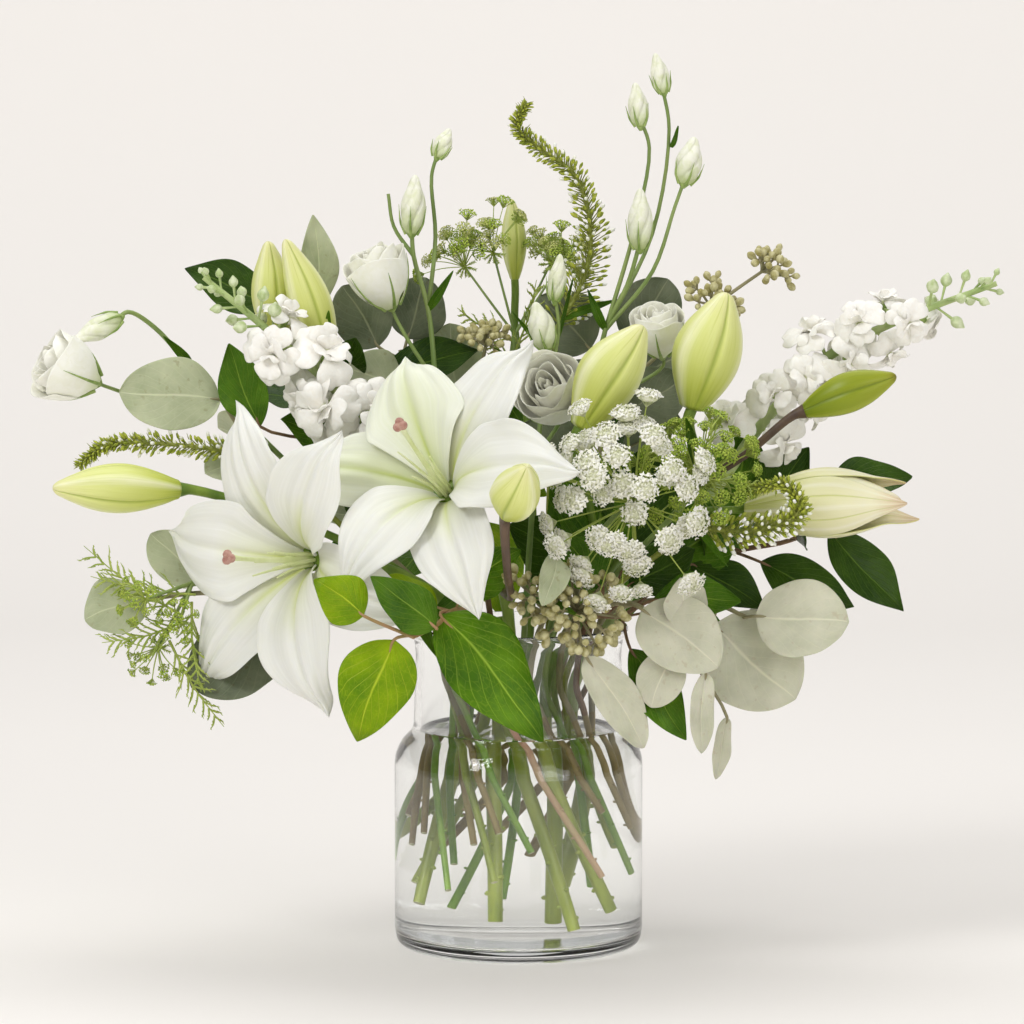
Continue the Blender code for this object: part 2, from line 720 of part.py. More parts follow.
def laces():
    for name, end, hub, axis, ray, tip, cap in (
        ("lace_white", "lace_white", (65, -74, 254), (-0.2, -0.9, 0.2), 58, 7.5, 58),
        ("lace_green", "lace_green", (97, -58, 262), (-0.1, -0.75, 0.65), 34, 5.0, 62),
    ):
        pieces = [rod(name + "_stem", stem_path(end, hub), STEM_R["lace"])]
        pieces.append(rays(name + "_head", hub, axis, ray, tip, cap, "lace"))
        fuse(name, pieces)
    tops = (
        ((-30, 60, 372), (-0.5, 0, 0.86), 26),
        ((-14, 56, 380), (-0.2, -0.3, 0.9), 26),
        ((18, 84, 372), (0.3, 0.5, 0.9), 18),
        ((22, 62, 372), (0.5, 0, 0.86), 20),
    )
    side_umbels("lace_top", (-2, 60, 334), tops)
    lefts = (
        ((-184, -52, 187), (-0.2, -0.9, 0.3), 12),
        ((-202, -60, 200), (-0.7, -0.6, -0.1), 14),
        ((-196, -46, 172), (-0.5, -0.3, -0.8), 18),
    )
    side_umbels("lace_left", (-178, -36, 206), lefts)


def side_umbels(name, fork, heads):
    """A lace with several small umbels, each on its own branch from the stem's fork."""
    pieces = [rod(name + "_stem", stem_path(name, fork), STEM_R["lace"])]
    for i, (hub, axis, ray) in enumerate(heads):
        pieces.append(rod(f"{name}_branch_{i}", (fork, hub), 1.1, sides=5))
        pieces.append(rays(f"{name}_head_{i}", hub, axis, ray, 3.6, 66, "lace", hub_r=2.0, detail=1))
    fuse(name, pieces)


def berries(name, joint, hub, axis, ray, cap=75, tip=3.6, detail=1):
    """A spray of seeded gum: berries on short rays from a hub, and the stalk that bears it."""
    stalk = rod(name + "_stalk", (joint, hub), 1.2, sides=5)
    return [stalk, rays(name + "_head", hub, axis, ray, tip, cap, "gum_berry", 2.4, detail)]


# ------------------------------------------------------------------ loosestrife

SPIKE = (1.8, 4.5, 6.0, 6.5, 6.2, 6.0, 5.4, 4.6, 3.4, 1.4)


def spike(name, points, share=1.0):
    """A spike of small buds on a curling stem; share scales its thickness."""
    path = smooth_path(points, 13)
    radii = shares([radius * share for radius in SPIKE], 13)
    pieces = [rod(name + "_stem", stem_path(name, points[0], points[1]), STEM_R["loosestrife"])]
    pieces.append(mesh_object(name + "_spike", loft(path, radii, 8), "loosestrife"))
    return fuse(name, pieces)


def loosestrife():
    top = ((21, 45, 338), (36, 45, 366), (40, 45, 394), (31, 45, 424), (10, 45, 440), (-1, 45, 452), (5, 45, 464))
    left = ((-132, -2, 266), (-161, -5, 275), (-202, -10, 280), (-226, -12, 279), (-241, -15, 268))
    right = ((96, -72, 240), (128, -82, 240), (150, -87, 250), (144, -82, 264), (124, -80, 262))
    spike("loosestrife_top", top, 1.25)
    spike("loosestrife_left", left)
    spike("loosestrife_right", right, 0.9)


# ------------------------------------------------------------------ foliage


def gum_twigs():
    leafy(
        "gum_left",
        stem_path("gum_left"),
        [
            ((-160, 10, 296), (-164, 8, 302), (-219, -8, 308), (-0.1, -0.9, 0.3), 41, 2, 3),
            ((-140, 16, 266), (-140, 26, 270), (-168, 60, 282), (0.3, 0.6, 0.7), 38, 2, 3),
        ],
        "gum_leaf",
        "round",
    )
    leafy(
        "gum_low_left",
        stem_path("gum_low_left", (-178, -34, 200), (-198, -40, 198)),
        [
            ((-196, -39, 198), (-203, -40, 197), (-236, -46, 187), (-0.2, -0.8, 0.5), 36, 2, 2),
            ((-172, -32, 200), (-174, -28, 205), (-201, -26, 232), (-0.3, -0.8, 0.3), 28, 1, 2),
            ((-128, -24, 200), (-130, -34, 188), (-172, -48, 150), (-0.3, -0.8, 0.2), 40, 2, 2),
        ],
        "gum_leaf",
        "round",
    )
    leafy(
        "gum_back_left",
        stem_path("gum_back_left", (-66, 54, 326)),
        [
            ((-64, 53, 320), (-78, 52, 328), (-98, 52, 362), (-0.1, -0.9, 0.2), 34, 1, 2),
            ((-64, 53, 324), (-62, 56, 332), (-52, 62, 366), (0.1, -0.9, 0.2), 34, 1, 2),
            ((-52, 50, 280), (-34, 56, 300), (-38, 66, 340), (0.1, -0.9, 0.2), 36, 1, 2),
            ((-44, 49, 256), (-58, 62, 262), (-86, 84, 280), (-0.3, 0.8, 0.4), 36, 2, 3),
        ],
        "gum_leaf",
        "round",
        more=berries("gum_back_left_berries", (-40, 48, 240), (-18, 34, 330), (-0.1, -0.3, 0.9), 15),
    )
    right = berries("gum_back_right_spray_1", (52, 58, 299), (106, 24, 352), (0.2, -0.2, 0.9), 13)
    right += berries("gum_back_right_spray_2", (105, 24, 351), (134, 20, 372), (0.7, -0.1, 0.7), 14)
    leafy(
        "gum_back_right",
        stem_path("gum_back_right", (56, 62, 318)),
        [
            ((54, 60, 310), (40, 57, 326), (12, 56, 356), (0.0, -0.9, 0.3), 38, 1, 2),
            ((56, 62, 316), (64, 70, 326), (84, 76, 364), (0.2, -0.9, 0.3), 38, 1, 2),
            ((44, 52, 266), (58, 66, 268), (92, 88, 282), (0.4, 0.7, 0.5), 38, 2, 3),
        ],
        "gum_leaf",
        "round",
        more=right,
    )
    leafy(
        "gum_right",
        stem_path("gum_right"),
        [
            ((60, -79, 200), (66, -88, 198), (107, -100, 168), (0.1, -0.9, 0.3), 42, 2, 2),
            ((80, -88, 190), (92, -84, 190), (86, -92, 215), (0.3, -0.9, 0.1), 26, 1, 2),
            ((80, -88, 190), (82, -94, 176), (71, -98, 146), (0.0, -0.9, 0.2), 26, 1, 2),
            ((80, -88, 190), (100, -100, 166), (98, -104, 122), (0.3, -0.9, 0.1), 14, 1, 1),
            ((80, -88, 190), (112, -92, 140), (106, -90, 106), (0.3, -0.9, 0.1), 10, 1, 1),
        ],
        "gum_leaf",
        "round",
    )
    leafy(
        "gum_far_right",
        stem_path("gum_far_right"),
        [
            ((108, -52, 196), (106, -58, 186), (150, -66, 146), (0.1, -0.9, 0.3), 56, 2, 2),
            ((122, -59, 190), (128, -70, 192), (178, -80, 190), (0.1, -0.9, 0.3), 44, 2, 2),
        ],
        "gum_leaf",
        "round",
    )
    leafy(
        "gum_front",
        stem_path("gum_front"),
        [
            ((28, -66, 196), (36, -98, 174), (67, -98, 124), (0.2, -0.9, 0.2), 24, 2, 2),
            ((29, -72, 199), (20, -100, 228), (13, -122, 204), (0.3, -0.6, 0.6), 16, 4, 2),
        ],
        "gum_leaf",
        "round",
        more=berries("gum_front_berries", (29, -78, 202), (31, -90, 198), (0, -0.8, -0.2), 23, 95, 4.4, 2),
    )


def salal_twigs():
    leafy(
        "salal_front",
        stem_path("salal_front"),
        [
            ((-34, -84, 197), (-42, -104, 197), (14, -116, 131), (0.2, -0.9, 0.4), 46, 4, -2),
            ((-54, -132, 190), (-66, -138, 188), (-86, -134, 132), (0.1, -0.9, 0.3), 41, 3, -2),
            ((-56, -136, 189), (-82, -148, 202), (-107, -152, 222), (0.0, -0.9, 0.3), 28, 2, -2),
            ((-45, -114, 192), (-44, -136, 194), (-77, -148, 223), (0.0, -0.8, 0.4), 26, 3, -2),
        ],
        "salal_leaf",
        "oval",
    )
    leafy(
        "salal_left",
        stem_path("salal_left", (-124, 60, 330)),
        [
            ((-91, 51, 273), (-142, 2, 288), (-159, 2, 334), (-0.1, -0.9, 0.2), 27, 2, 2),
            ((-122, 60, 328), (-136, 60, 350), (-186, 54, 371), (0.0, -0.8, 0.5), 30, 2, 2),
            ((-123, 60, 328), (-112, 56, 348), (-114, 48, 402), (0.1, -0.9, 0.1), 22, 2, 2),
            ((-74, 46, 240), (-74, 47, 316), (-22, 45, 326), (0.1, -0.8, 0.4), 26, 2, 2),
            ((-100, 54, 294), (-100, 70, 296), (-118, 108, 316), (0.0, 0.6, 0.8), 34, 3, 2),
        ],
        "salal_leaf",
        "lance",
    )
    leafy(
        "salal_right",
        stem_path("salal_right", (168, -2, 236)),
        [
            ((160, -2, 232), (170, 2, 256), (217, 10, 259), (-0.1, -0.8, 0.6), 26, 2, 2),
            ((118, 2, 219), (132, -22, 216), (183, -34, 192), (0.1, -0.8, 0.5), 30, 2, 2),
            ((166, -2, 235), (170, -8, 232), (211, -12, 187), (0.2, -0.8, 0.4), 30, 2, 2),
            ((96, 4, 212), (100, 22, 214), (134, 70, 226), (0.2, 0.5, 0.8), 34, 3, 2),
        ],
        "salal_leaf",
        "lance",
    )
    leafy(
        "salal_low_right",
        stem_path("salal_low_right"),
        [
            ((56, -58, 190), (94, -34, 216), (134, -44, 192), (0.1, -0.8, 0.4), 26, 2, 2),
            ((56, -58, 190), (72, -66, 200), (120, -74, 200), (0.1, -0.8, 0.5), 28, 2, 2),
            ((56, -58, 190), (60, -82, 176), (90, -96, 128), (0.1, -0.9, 0.2), 26, 2, 2),
        ],
        "salal_leaf",
        "lance",
    )
    leafy(
        "salal_back_left",
        stem_path("salal_back_left"),
        [
            ((-26, 78, 232), (-34, 86, 228), (-72, 106, 186), (-0.4, 0.7, 0.5), 38, 3, -2),
            ((-26, 78, 232), (-20, 92, 226), (-8, 116, 168), (0.1, 0.8, 0.4), 42, 4, -2),
            ((-34, 96, 258), (-44, 100, 264), (-92, 110, 262), (-0.2, 0.6, 0.7), 34, 3, 2),
            ((-34, 96, 258), (-32, 102, 270), (-34, 112, 322), (0.1, 0.9, 0.2), 36, 3, 2),
            ((-34, 96, 258), (-26, 104, 256), (16, 118, 240), (0.2, 0.8, 0.5), 34, 3, -2),
        ],
        "salal_leaf",
        "oval",
    )
    leafy(
        "salal_back_right",
        stem_path("salal_back_right"),
        [
            ((60, 66, 226), (64, 78, 220), (58, 108, 166), (0.3, 0.8, 0.4), 40, 4, -2),
            ((60, 66, 226), (74, 66, 224), (120, 62, 190), (0.5, 0.6, 0.6), 36, 3, -2),
            ((72, 86, 246), (82, 92, 246), (128, 104, 236), (0.3, 0.7, 0.6), 36, 3, 2),
            ((72, 86, 246), (72, 94, 258), (64, 108, 312), (0.1, 0.9, 0.2), 34, 3, 2),
            ((72, 86, 246), (64, 94, 240), (28, 112, 212), (0.1, 0.8, 0.5), 34, 3, -2),
        ],
        "salal_leaf",
        "oval",
    )


# ------------------------------------------------------------------ the bunch


def main():
    clear_scene()
    vase()
    water([stem_room(name) for name in STEMS])
    open_lily("left", LILY_LEFT, PETALS_LEFT)
    open_lily("centre", LILY_CENTRE, PETALS_CENTRE)
    for name, (base, tip, radius, sag) in LILY_BUDS.items():
        lily_bud(name, base, tip, radius, sag)
    lily_stems()
    lisianthus()
    stocks()
    laces()
    loosestrife()
    gum_twigs()
    salal_twigs()


main()
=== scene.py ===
"""Looks for a hand-tied bunch of white lilies in a glass jar of water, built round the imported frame.

Lengths in this file are millimetres and become metres where a mesh is made. The vase stands on the
origin, +Z is up and the open lilies face -Y.
"""

import cmath
import math
import random

import bpy
from mathutils import Matrix, Quaternion, Vector, noise


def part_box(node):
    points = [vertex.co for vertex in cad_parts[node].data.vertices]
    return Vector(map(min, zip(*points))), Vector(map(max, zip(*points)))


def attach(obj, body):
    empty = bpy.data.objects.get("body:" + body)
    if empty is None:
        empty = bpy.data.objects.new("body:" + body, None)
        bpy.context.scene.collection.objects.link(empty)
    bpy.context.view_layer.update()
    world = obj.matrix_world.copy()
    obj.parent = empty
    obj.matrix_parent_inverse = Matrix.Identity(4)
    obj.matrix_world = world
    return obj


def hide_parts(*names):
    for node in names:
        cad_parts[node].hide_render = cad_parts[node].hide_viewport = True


MM = 0.001
GOLDEN = math.radians(137.508)
UP = Vector((0, 0, 1))

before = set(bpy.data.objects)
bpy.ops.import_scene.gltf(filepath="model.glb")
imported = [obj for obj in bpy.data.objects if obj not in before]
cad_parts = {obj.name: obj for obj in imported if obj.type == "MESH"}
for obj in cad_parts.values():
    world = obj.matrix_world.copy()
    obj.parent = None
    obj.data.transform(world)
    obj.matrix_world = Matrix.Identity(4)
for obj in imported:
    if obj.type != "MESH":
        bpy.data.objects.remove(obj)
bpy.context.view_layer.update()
vase_low, vase_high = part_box("vase")
BODY_R = (vase_high[0] - vase_low[0]) / 2 / MM
VASE_H = (vase_high[2] - vase_low[2]) / MM
WATER_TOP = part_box("water")[1][2] / MM


# ------------------------------------------------------------------ materials


def linear(hex_colour):
    """An sRGB hex colour as linear RGBA."""
    parts = [int(hex_colour[i : i + 2], 16) / 255 for i in (1, 3, 5)]
    return (*[c / 12.92 if c <= 0.04045 else ((c + 0.055) / 1.055) ** 2.4 for c in parts], 1.0)


def add(tree, kind, inputs=None, **settings):
    """Adds a node. Each input is a value, a hex colour or another node's output socket."""
    node = tree.nodes.new(kind)
    for key, value in settings.items():
        setattr(node, key, value)
    for key, value in (inputs or {}).items():
        if isinstance(value, bpy.types.NodeSocket):
            tree.links.new(value, node.inputs[key])
        elif isinstance(value, str):
            node.inputs[key].default_value = linear(value)
        else:
            node.inputs[key].default_value = value
    return node


def blank(name):
    """An empty material, its tree, and the object and UV coordinates in it."""
    made = bpy.data.materials.new(name)
    made.use_nodes = True
    tree = made.node_tree
    tree.nodes.clear()
    coords = add(tree, "ShaderNodeTexCoord").outputs
    return made, tree, coords["Object"], coords["UV"]


def ramp(tree, value, stops):
    """Colours at places from 0 to 1, blended along value."""
    node = add(tree, "ShaderNodeValToRGB", {0: value})
    while len(node.color_ramp.elements) < len(stops):
        node.color_ramp.elements.new(0.5)
    for element, (place, colour) in zip(node.color_ramp.elements, stops):
        element.position = place
        element.color = linear(colour)
    return node.outputs[0]


def calc(tree, operation, a, b=0.0):
    return add(tree, "ShaderNodeMath", {0: a, 1: b}, operation=operation).outputs[0]


def times(tree, a, b):
    return calc(tree, "MULTIPLY", a, b)


def plus(tree, a, b):
    return calc(tree, "ADD", a, b)


def from_middle(tree, value):
    """How far a value is from a half."""
    return calc(tree, "ABSOLUTE", calc(tree, "SUBTRACT", value, 0.5))


def repeat(tree, value, count):
    """How far a value is from the middle of the step that it falls in, of count even steps."""
    return from_middle(tree, calc(tree, "FRACT", times(tree, value, count)))


def split(tree, vector):
    parts = add(tree, "ShaderNodeSeparateXYZ", {0: vector}).outputs
    return parts[0], parts[1]


def fade(tree, value, low, high, first=1.0, last=0.0):
    """From first at low to last at high."""
    return add(tree, "ShaderNodeMapRange", {0: value, 1: low, 2: high, 3: first, 4: last}).outputs[0]


def blend(tree, share, under, over):
    return add(tree, "ShaderNodeMix", {0: share, 6: under, 7: over}, data_type="RGBA").outputs[2]


def cloud(tree, vector, scale, detail, output=0, **more):
    """Soft noise along a vector."""
    return add(
        tree, "ShaderNodeTexNoise", {"Vector": vector, "Scale": scale, "Detail": detail, **more}
    ).outputs[output]


def streak(tree, vector, scale, detail):
    """Noise drawn out by a scale for each axis."""
    return cloud(tree, stretch(tree, vector, scale), 1.0, detail)


def stretch(tree, vector, scale):
    return add(tree, "ShaderNodeMapping", {0: vector, "Scale": scale}).outputs[0]


def per_mm(size_mm):
    """The scale at which a noise's lumps are about size_mm wide."""
    return 1 / (size_mm * MM)


def finish_surface(made, tree, colour, height, bump_mm, roughness, subsurface=None, **sockets):
    """The shader: colour, a bump of bump_mm from height, the subsurface's weight, colour radius and
    depth in metres, and its own plain sockets."""
    bump = add(tree, "ShaderNodeBump", {"Height": height, "Distance": bump_mm * MM, "Strength": 1.0})
    inputs = {"Base Color": colour, "Roughness": roughness, "Normal": bump.outputs[0]}
    if subsurface:
        inputs |= dict(zip(("Subsurface Weight", "Subsurface Radius", "Subsurface Scale"), subsurface))
    inputs |= {key.replace("_", " "): value for key, value in sockets.items()}
    shader = add(tree, "ShaderNodeBsdfPrincipled", inputs)
    add(tree, "ShaderNodeOutputMaterial", {0: shader.outputs[0]})
    return made


def lily_petal_flesh(name, body, throat, reach):
    """Fresh lily tepal: thick white flesh with a satin skin. The eye sees fine ribs along it, a
    furrowed midrib, and a throat whose green runs out along the furrow."""
    made, tree, spot, uv = blank(name)
    u, v = split(tree, uv)
    side = from_middle(tree, u)
    ribs = streak(tree, uv, (26.0, 1.6, 1.0), 2.0)
    furrow = fade(tree, side, 0.0, 0.06)
    wide = times(tree, fade(tree, side, 0.02, 0.42), 0.75)
    green = times(tree, fade(tree, v, 0.02, reach), plus(tree, wide, times(tree, furrow, 0.5)))
    green = add(tree, "ShaderNodeClamp", {0: plus(tree, green, times(tree, furrow, 0.07))}).outputs[0]
    pale = ramp(tree, ribs, [(0.25, "#E4E4DE"), (0.5, body), (0.8, "#F6F6F3")])
    shaded = blend(tree, cloud(tree, spot, 30.0, 3.0), pale, body)
    height = plus(tree, times(tree, ribs, 0.45), times(tree, furrow, -0.6))
    height = plus(tree, height, times(tree, cloud(tree, spot, 1400.0, 1.0), 0.08))
    return finish_surface(
        made, tree, blend(tree, green, shaded, throat), height, 0.3, 0.46, (0.4, (1.0, 0.95, 0.75), 0.0016),
        Specular_IOR_Level=0.35, Sheen_Weight=0.08,
    )


def bud_skin(name, stops, rib):
    """Closed lily bud: waxy skin that is green at the stalk and yellower to the tip, with a pale
    rib down the middle of each tepal and fine streaks along it."""
    made, tree, _, uv = blank(name)
    u, v = split(tree, uv)
    streaks = streak(tree, uv, (60.0, 2.4, 1.0), 3.0)
    third = repeat(tree, u, 3.0)
    band = times(tree, fade(tree, third, 0.0, 0.16, 0.95), plus(tree, streaks, 0.25))
    seam = fade(tree, third, 0.44, 0.5, 0.0, 1.0)
    along = plus(tree, v, times(tree, calc(tree, "SUBTRACT", streaks, 0.5), 0.35))
    ribbed = blend(tree, band, ramp(tree, along, stops), rib)
    ribbed = blend(tree, fade(tree, streaks, 0.5, 0.72, 0.0, 0.55), ribbed, stops[1][1])
    colour = blend(tree, times(tree, seam, 0.7), ribbed, stops[0][1])
    height = calc(tree, "SUBTRACT", times(tree, streaks, 0.6), times(tree, seam, 0.6))
    subsurface = (0.2, (0.9, 1.0, 0.4), 0.0015)
    return finish_surface(made, tree, colour, height, 0.3, 0.38, subsurface, Specular_IOR_Level=0.4)


def stem_skin(name, dark, light, roughness=0.45, size_mm=3.0):
    """Fresh green stem: a smooth skin with long blotches, fine ridges and small pores."""
    made, tree, spot, _ = blank(name)
    long = stretch(tree, spot, (1.0, 1.0, 0.25))
    colour = ramp(tree, cloud(tree, long, per_mm(size_mm * 4), 4.0), [(0.32, dark), (0.68, light)])
    pores = cloud(tree, long, per_mm(0.5 * size_mm), 2.0)
    return finish_surface(made, tree, colour, pores, 0.25, roughness, (0.08, (0.6, 1.0, 0.3), 0.001))


def crepe_petal(name, body, shade, base, reach=0.35, scale_mm=5.0):
    """Thin soft petal, as on stock and lisianthus: matt white crepe with creases, greener where it
    joins the calyx. The hollows of its creases are painted in the darker shade colour, as painted shade."""
    made, tree, spot, uv = blank(name)
    creases = cloud(tree, spot, per_mm(scale_mm), 4.0, Distortion=0.8)
    # painted shade: where the crease bump is low, the petal takes the darker shade colour
    soft = ramp(tree, creases, [(0.3, shade), (0.6, body)])
    colour = blend(tree, fade(tree, split(tree, uv)[1], 0.0, reach), soft, base)
    height = plus(tree, creases, times(tree, streak(tree, uv, (24.0, 2.0, 1.0), 2.0), 0.5))
    return finish_surface(
        made, tree, colour, height, 0.3, 0.6, (0.1, (1.0, 1.0, 0.9), 0.0006),
        Specular_IOR_Level=0.3, Sheen_Weight=0.15,
    )


def leaf_blade(name, dark, light, vein, pairs, gloss, net=14.0, spots=None, bump_mm=0.35, veined=0.8):
    """Leaf blade: pairs is the number of side veins on each side. A midrib, arching side veins and
    a fine net between them, in a lighter green and a little raised."""
    made, tree, spot, uv = blank(name)
    wander = cloud(tree, uv, 5.0, 2.0, 1)
    bent = add(tree, "ShaderNodeMix", {0: 0.035, 4: uv, 5: wander}, data_type="VECTOR").outputs[1]
    u, v = split(tree, bent)
    side = from_middle(tree, u)
    rib = fade(tree, side, 0.004, 0.022)
    arch = calc(tree, "SUBTRACT", v, calc(tree, "POWER", side, 0.8))
    lateral = fade(tree, repeat(tree, arch, float(pairs)), 0.0, 0.07)
    cells = add(
        tree, "ShaderNodeTexVoronoi", {"Vector": bent, "Scale": net}, feature="DISTANCE_TO_EDGE"
    ).outputs[0]
    fine = calc(tree, "MAXIMUM", times(tree, lateral, 0.7), fade(tree, cells, 0.0, 0.06, 0.28))
    lines = calc(tree, "MAXIMUM", rib, fine)
    blotch = cloud(tree, spot, 55.0, 4.0)
    ground = ramp(tree, blotch, [(0.3, dark), (0.7, light)])
    if spots:
        ground = blend(tree, fade(tree, cloud(tree, spot, 260.0, 2.0), 0.64, 0.72, 0.0, 0.5), ground, spots)
    shown = calc(tree, "MAXIMUM", times(tree, rib, 0.85), times(tree, fine, veined))
    height = plus(tree, times(tree, lines, -0.8), times(tree, blotch, 0.4))
    return finish_surface(
        made, tree, blend(tree, shown, ground, vein), height, bump_mm, gloss,
        (0.15, (0.6, 1.0, 0.25), 0.0012),
        Specular_IOR_Level=0.16,
    )


def grainy(name, dark, light, scale_mm, roughness=0.6):
    """Tiny florets, seeds and buds: a matt skin whose tone changes from one to the next."""
    made, tree, spot, _ = blank(name)
    colour = ramp(tree, cloud(tree, spot, per_mm(scale_mm), 3.0), [(0.36, dark), (0.64, light)])
    skin = cloud(tree, spot, per_mm(0.6), 2.0)
    return finish_surface(made, tree, colour, skin, 0.2, roughness, (0.1, (1.0, 1.0, 0.6), 0.0008))


def clear(name, tint, ior):
    """Pressed soda glass, or still water: clear, and it lets the studio's light through to the
    stems in it."""
    made, tree, spot, _ = blank(name)
    finish_surface(
        made, tree, tint, cloud(tree, spot, 18.0, 1.0), 0.0, 0.0, IOR=ior, Transmission_Weight=1.0
    )
    ends = next(node for node in tree.nodes if node.type == "OUTPUT_MATERIAL")
    body = ends.inputs[0].links[0].from_socket
    lamp = add(tree, "ShaderNodeLightPath").outputs["Is Shadow Ray"]
    through = add(tree, "ShaderNodeBsdfTransparent", {0: (*[c**0.5 for c in tint[:3]], 1.0)}).outputs[0]
    tree.links.new(
        add(tree, "ShaderNodeMixShader", {0: lamp, 1: body, 2: through}).outputs[0], ends.inputs[0]
    )
    return made


def paper_sweep(name, colour):
    """Studio paper: matt and plain, with a faint unevenness."""
    made, tree, spot, _ = blank(name)
    uneven = cloud(tree, spot, 1.5, 2.0)
    tone = ramp(tree, uneven, [(0.2, colour[0]), (0.8, colour[1])])
    return finish_surface(made, tree, tone, uneven, 0.1, 0.9, Specular_IOR_Level=0.1)


LILY_WHITE = lily_petal_flesh("lily_petal_white", "#E8E8E0", "#D3DC8C", 0.55)
LILY_GREENISH = lily_petal_flesh("lily_petal_greenish", "#E9ECD9", "#C2CE7E", 1.0)
PISTIL_SKIN = stem_skin("pistil_style_waxy", "#D3DC9C", "#E8ECC2")
STIGMA_SKIN = grainy("stigma_velvet", "#A8776A", "#C49C8C", 2.0, 0.7)
BUD_PALE = bud_skin(
    "lily_bud_waxy_pale", [(0.0, "#A2B436"), (0.28, "#C8D060"), (0.65, "#E2E696"), (1.0, "#ECE8B0")],
    "#F7F6D4"
)
BUD_GREEN = bud_skin(
    "lily_bud_waxy_green", [(0.0, "#64780A"), (0.4, "#86950E"), (0.8, "#98A020"), (1.0, "#7A6426")],
    "#A6AE3C"
)
BUD_CREAM = bud_skin(
    "lily_bud_waxy_cream", [(0.0, "#C6CC6A"), (0.4, "#E4E2AC"), (0.8, "#F0EBCB"), (1.0, "#D9B796")],
    "#F6F3DC"
)
LILY_STEM = stem_skin("lily_stem_green", "#5C7C22", "#8AA43C")
# Dark brown pedicel skin: on the right stem it is the stalk's flush; on the centre stem's front branch it is
# painted shade, for the shade deep in the bunch.
PEDICEL_BROWN = stem_skin("lily_pedicel_flush_and_painted_shade", "#43332A", "#6A5440")
WET_STEM = stem_skin("stem_in_water_olive", "#7C8E22", "#AEBB50", 0.35)
WET_BRIGHT = stem_skin("stem_in_water_green", "#5F8A1C", "#8FB43E", 0.35)
WET_BROWN = stem_skin("twig_in_water_brown", "#7E6C3A", "#AA985C", 0.5)
WET_FLUSHED = stem_skin("twig_in_water_flushed", "#BDB77C", "#D39A84", 0.45, 5.0)
PALE_STEM = stem_skin("stock_stem_pale", "#93AC62", "#BCCB8C")
FINE_STEM = stem_skin("fine_stem_green", "#6A8440", "#96A862")
WOODY_TWIG = stem_skin("woody_twig_bark", "#6B5138", "#94775A", 0.7)
PINK_TWIG = stem_skin("salal_twig_flushed", "#8E7C3C", "#B98C6C", 0.5)
CUT_END = grainy("cut_stem_pith", "#C9C79A", "#E4E0B8", 1.0)
EUSTOMA_WHITE = crepe_petal("lisianthus_petal_crepe", "#FDFCF2", "#F8F7E8", "#DDE4B4")
EUSTOMA_BUD = crepe_petal("lisianthus_bud_crepe", "#F6F6E6", "#E4E8C4", "#A9BD62", 0.5)
STOCK_WHITE = crepe_petal("stock_petal_crepe", "#FDFBF5", "#F9F5EC", "#D2E088", 0.26, 3.0)
STOCK_BUD = grainy("stock_bud_skin", "#B6C88A", "#DCE4C0", 4.0)
CALYX_GREEN = grainy("calyx_skin", "#7F9A4A", "#A4B86C", 5.0)
LACE_FLORET = grainy("lace_floret_white", "#F5F3DE", "#FEFDF6", 2.2)
LACE_CREAM = grainy("lace_floret_cream", "#E0E3BE", "#F4F3E2", 2.2)
LACE_THREAD = stem_skin("lace_thread_pale", "#BCC78A", "#DCE0B4")
LACE_GREEN = grainy("lace_floret_green", "#7F9E1E", "#BCCC54", 2.4)
LACE_TAN = grainy("lace_floret_faded", "#A4AC50", "#CFD08C", 2.4)
LACE_RAY = stem_skin("lace_ray_green", "#8CA03C", "#B4C060")
SPIKE_BUD = grainy("loosestrife_bud_skin", "#7E8E1A", "#C2C84C", 3.0)
SPIKE_TIP = grainy("loosestrife_open_tip", "#EEEEDC", "#FAFAF4", 2.0)
SPIKE_STEM = stem_skin("loosestrife_stem_green", "#76802C", "#9AA048")
GUM_GREY = leaf_blade(
    "gum_leaf_waxy_grey", "#A3AA88", "#C2C6A6", "#D2D5B4", 7, 0.5, 8.0, "#989470", 0.12, 0.4
)
GUM_PALE = leaf_blade(
    "gum_leaf_waxy_pale", "#BDBDA6", "#D5D3BE", "#DFDCC4", 7, 0.55, 8.0, "#B8AC92", 0.12, 0.4
)
# A darker copy of the gum leaf for the leaves at the back of the bunch and in its gaps: painted shade.
GUM_SHADE_DARK = leaf_blade(
    "gum_leaf_waxy_painted_shade", "#555F48", "#7A8068", "#969A7C", 7, 0.5, 8.0, "#5C5A40", 0.12, 0.4
)
GUM_SEED = grainy("gum_seed_skin", "#A39A5C", "#D3CDA0", 4.0)
GUM_STALK = stem_skin("gum_twig_skin", "#7E7A56", "#A59C7A", 0.6)
SALAL_BRIGHT = leaf_blade("salal_leaf_bright", "#568000", "#8EAA00", "#BACB34", 7, 0.42, 16.0)
SALAL_RICH = leaf_blade("salal_leaf_rich", "#345E00", "#5F8A06", "#9DBB40", 7, 0.38, 16.0)
# A darker copy of the salal leaf for the leaves at the back and in the gaps of the bunch: painted shade.
SALAL_SHADE_DARK = leaf_blade("salal_leaf_painted_shade", "#1E3A06", "#3B5810", "#5E7A2C", 8, 0.34, 18.0)
SALAL_MID = leaf_blade("salal_leaf_mid", "#335A06", "#567E14", "#86A43C", 8, 0.38, 18.0)
JAR_GLASS = clear("pressed_soda_glass", (0.985, 0.993, 0.990, 1.0), 1.47)
STILL_WATER = clear("still_water", (0.997, 0.999, 0.998, 1.0), 1.333)
SWEEP = paper_sweep("studio_paper_warm_white", ("#F5F1ED", "#F7F3EF"))


# ------------------------------------------------------------------ making meshes


def deselect():
    bpy.ops.object.select_all(action="DESELECT")


def paint(obj, material):
    obj.data.materials.clear()
    obj.data.materials.append(material)
    return obj


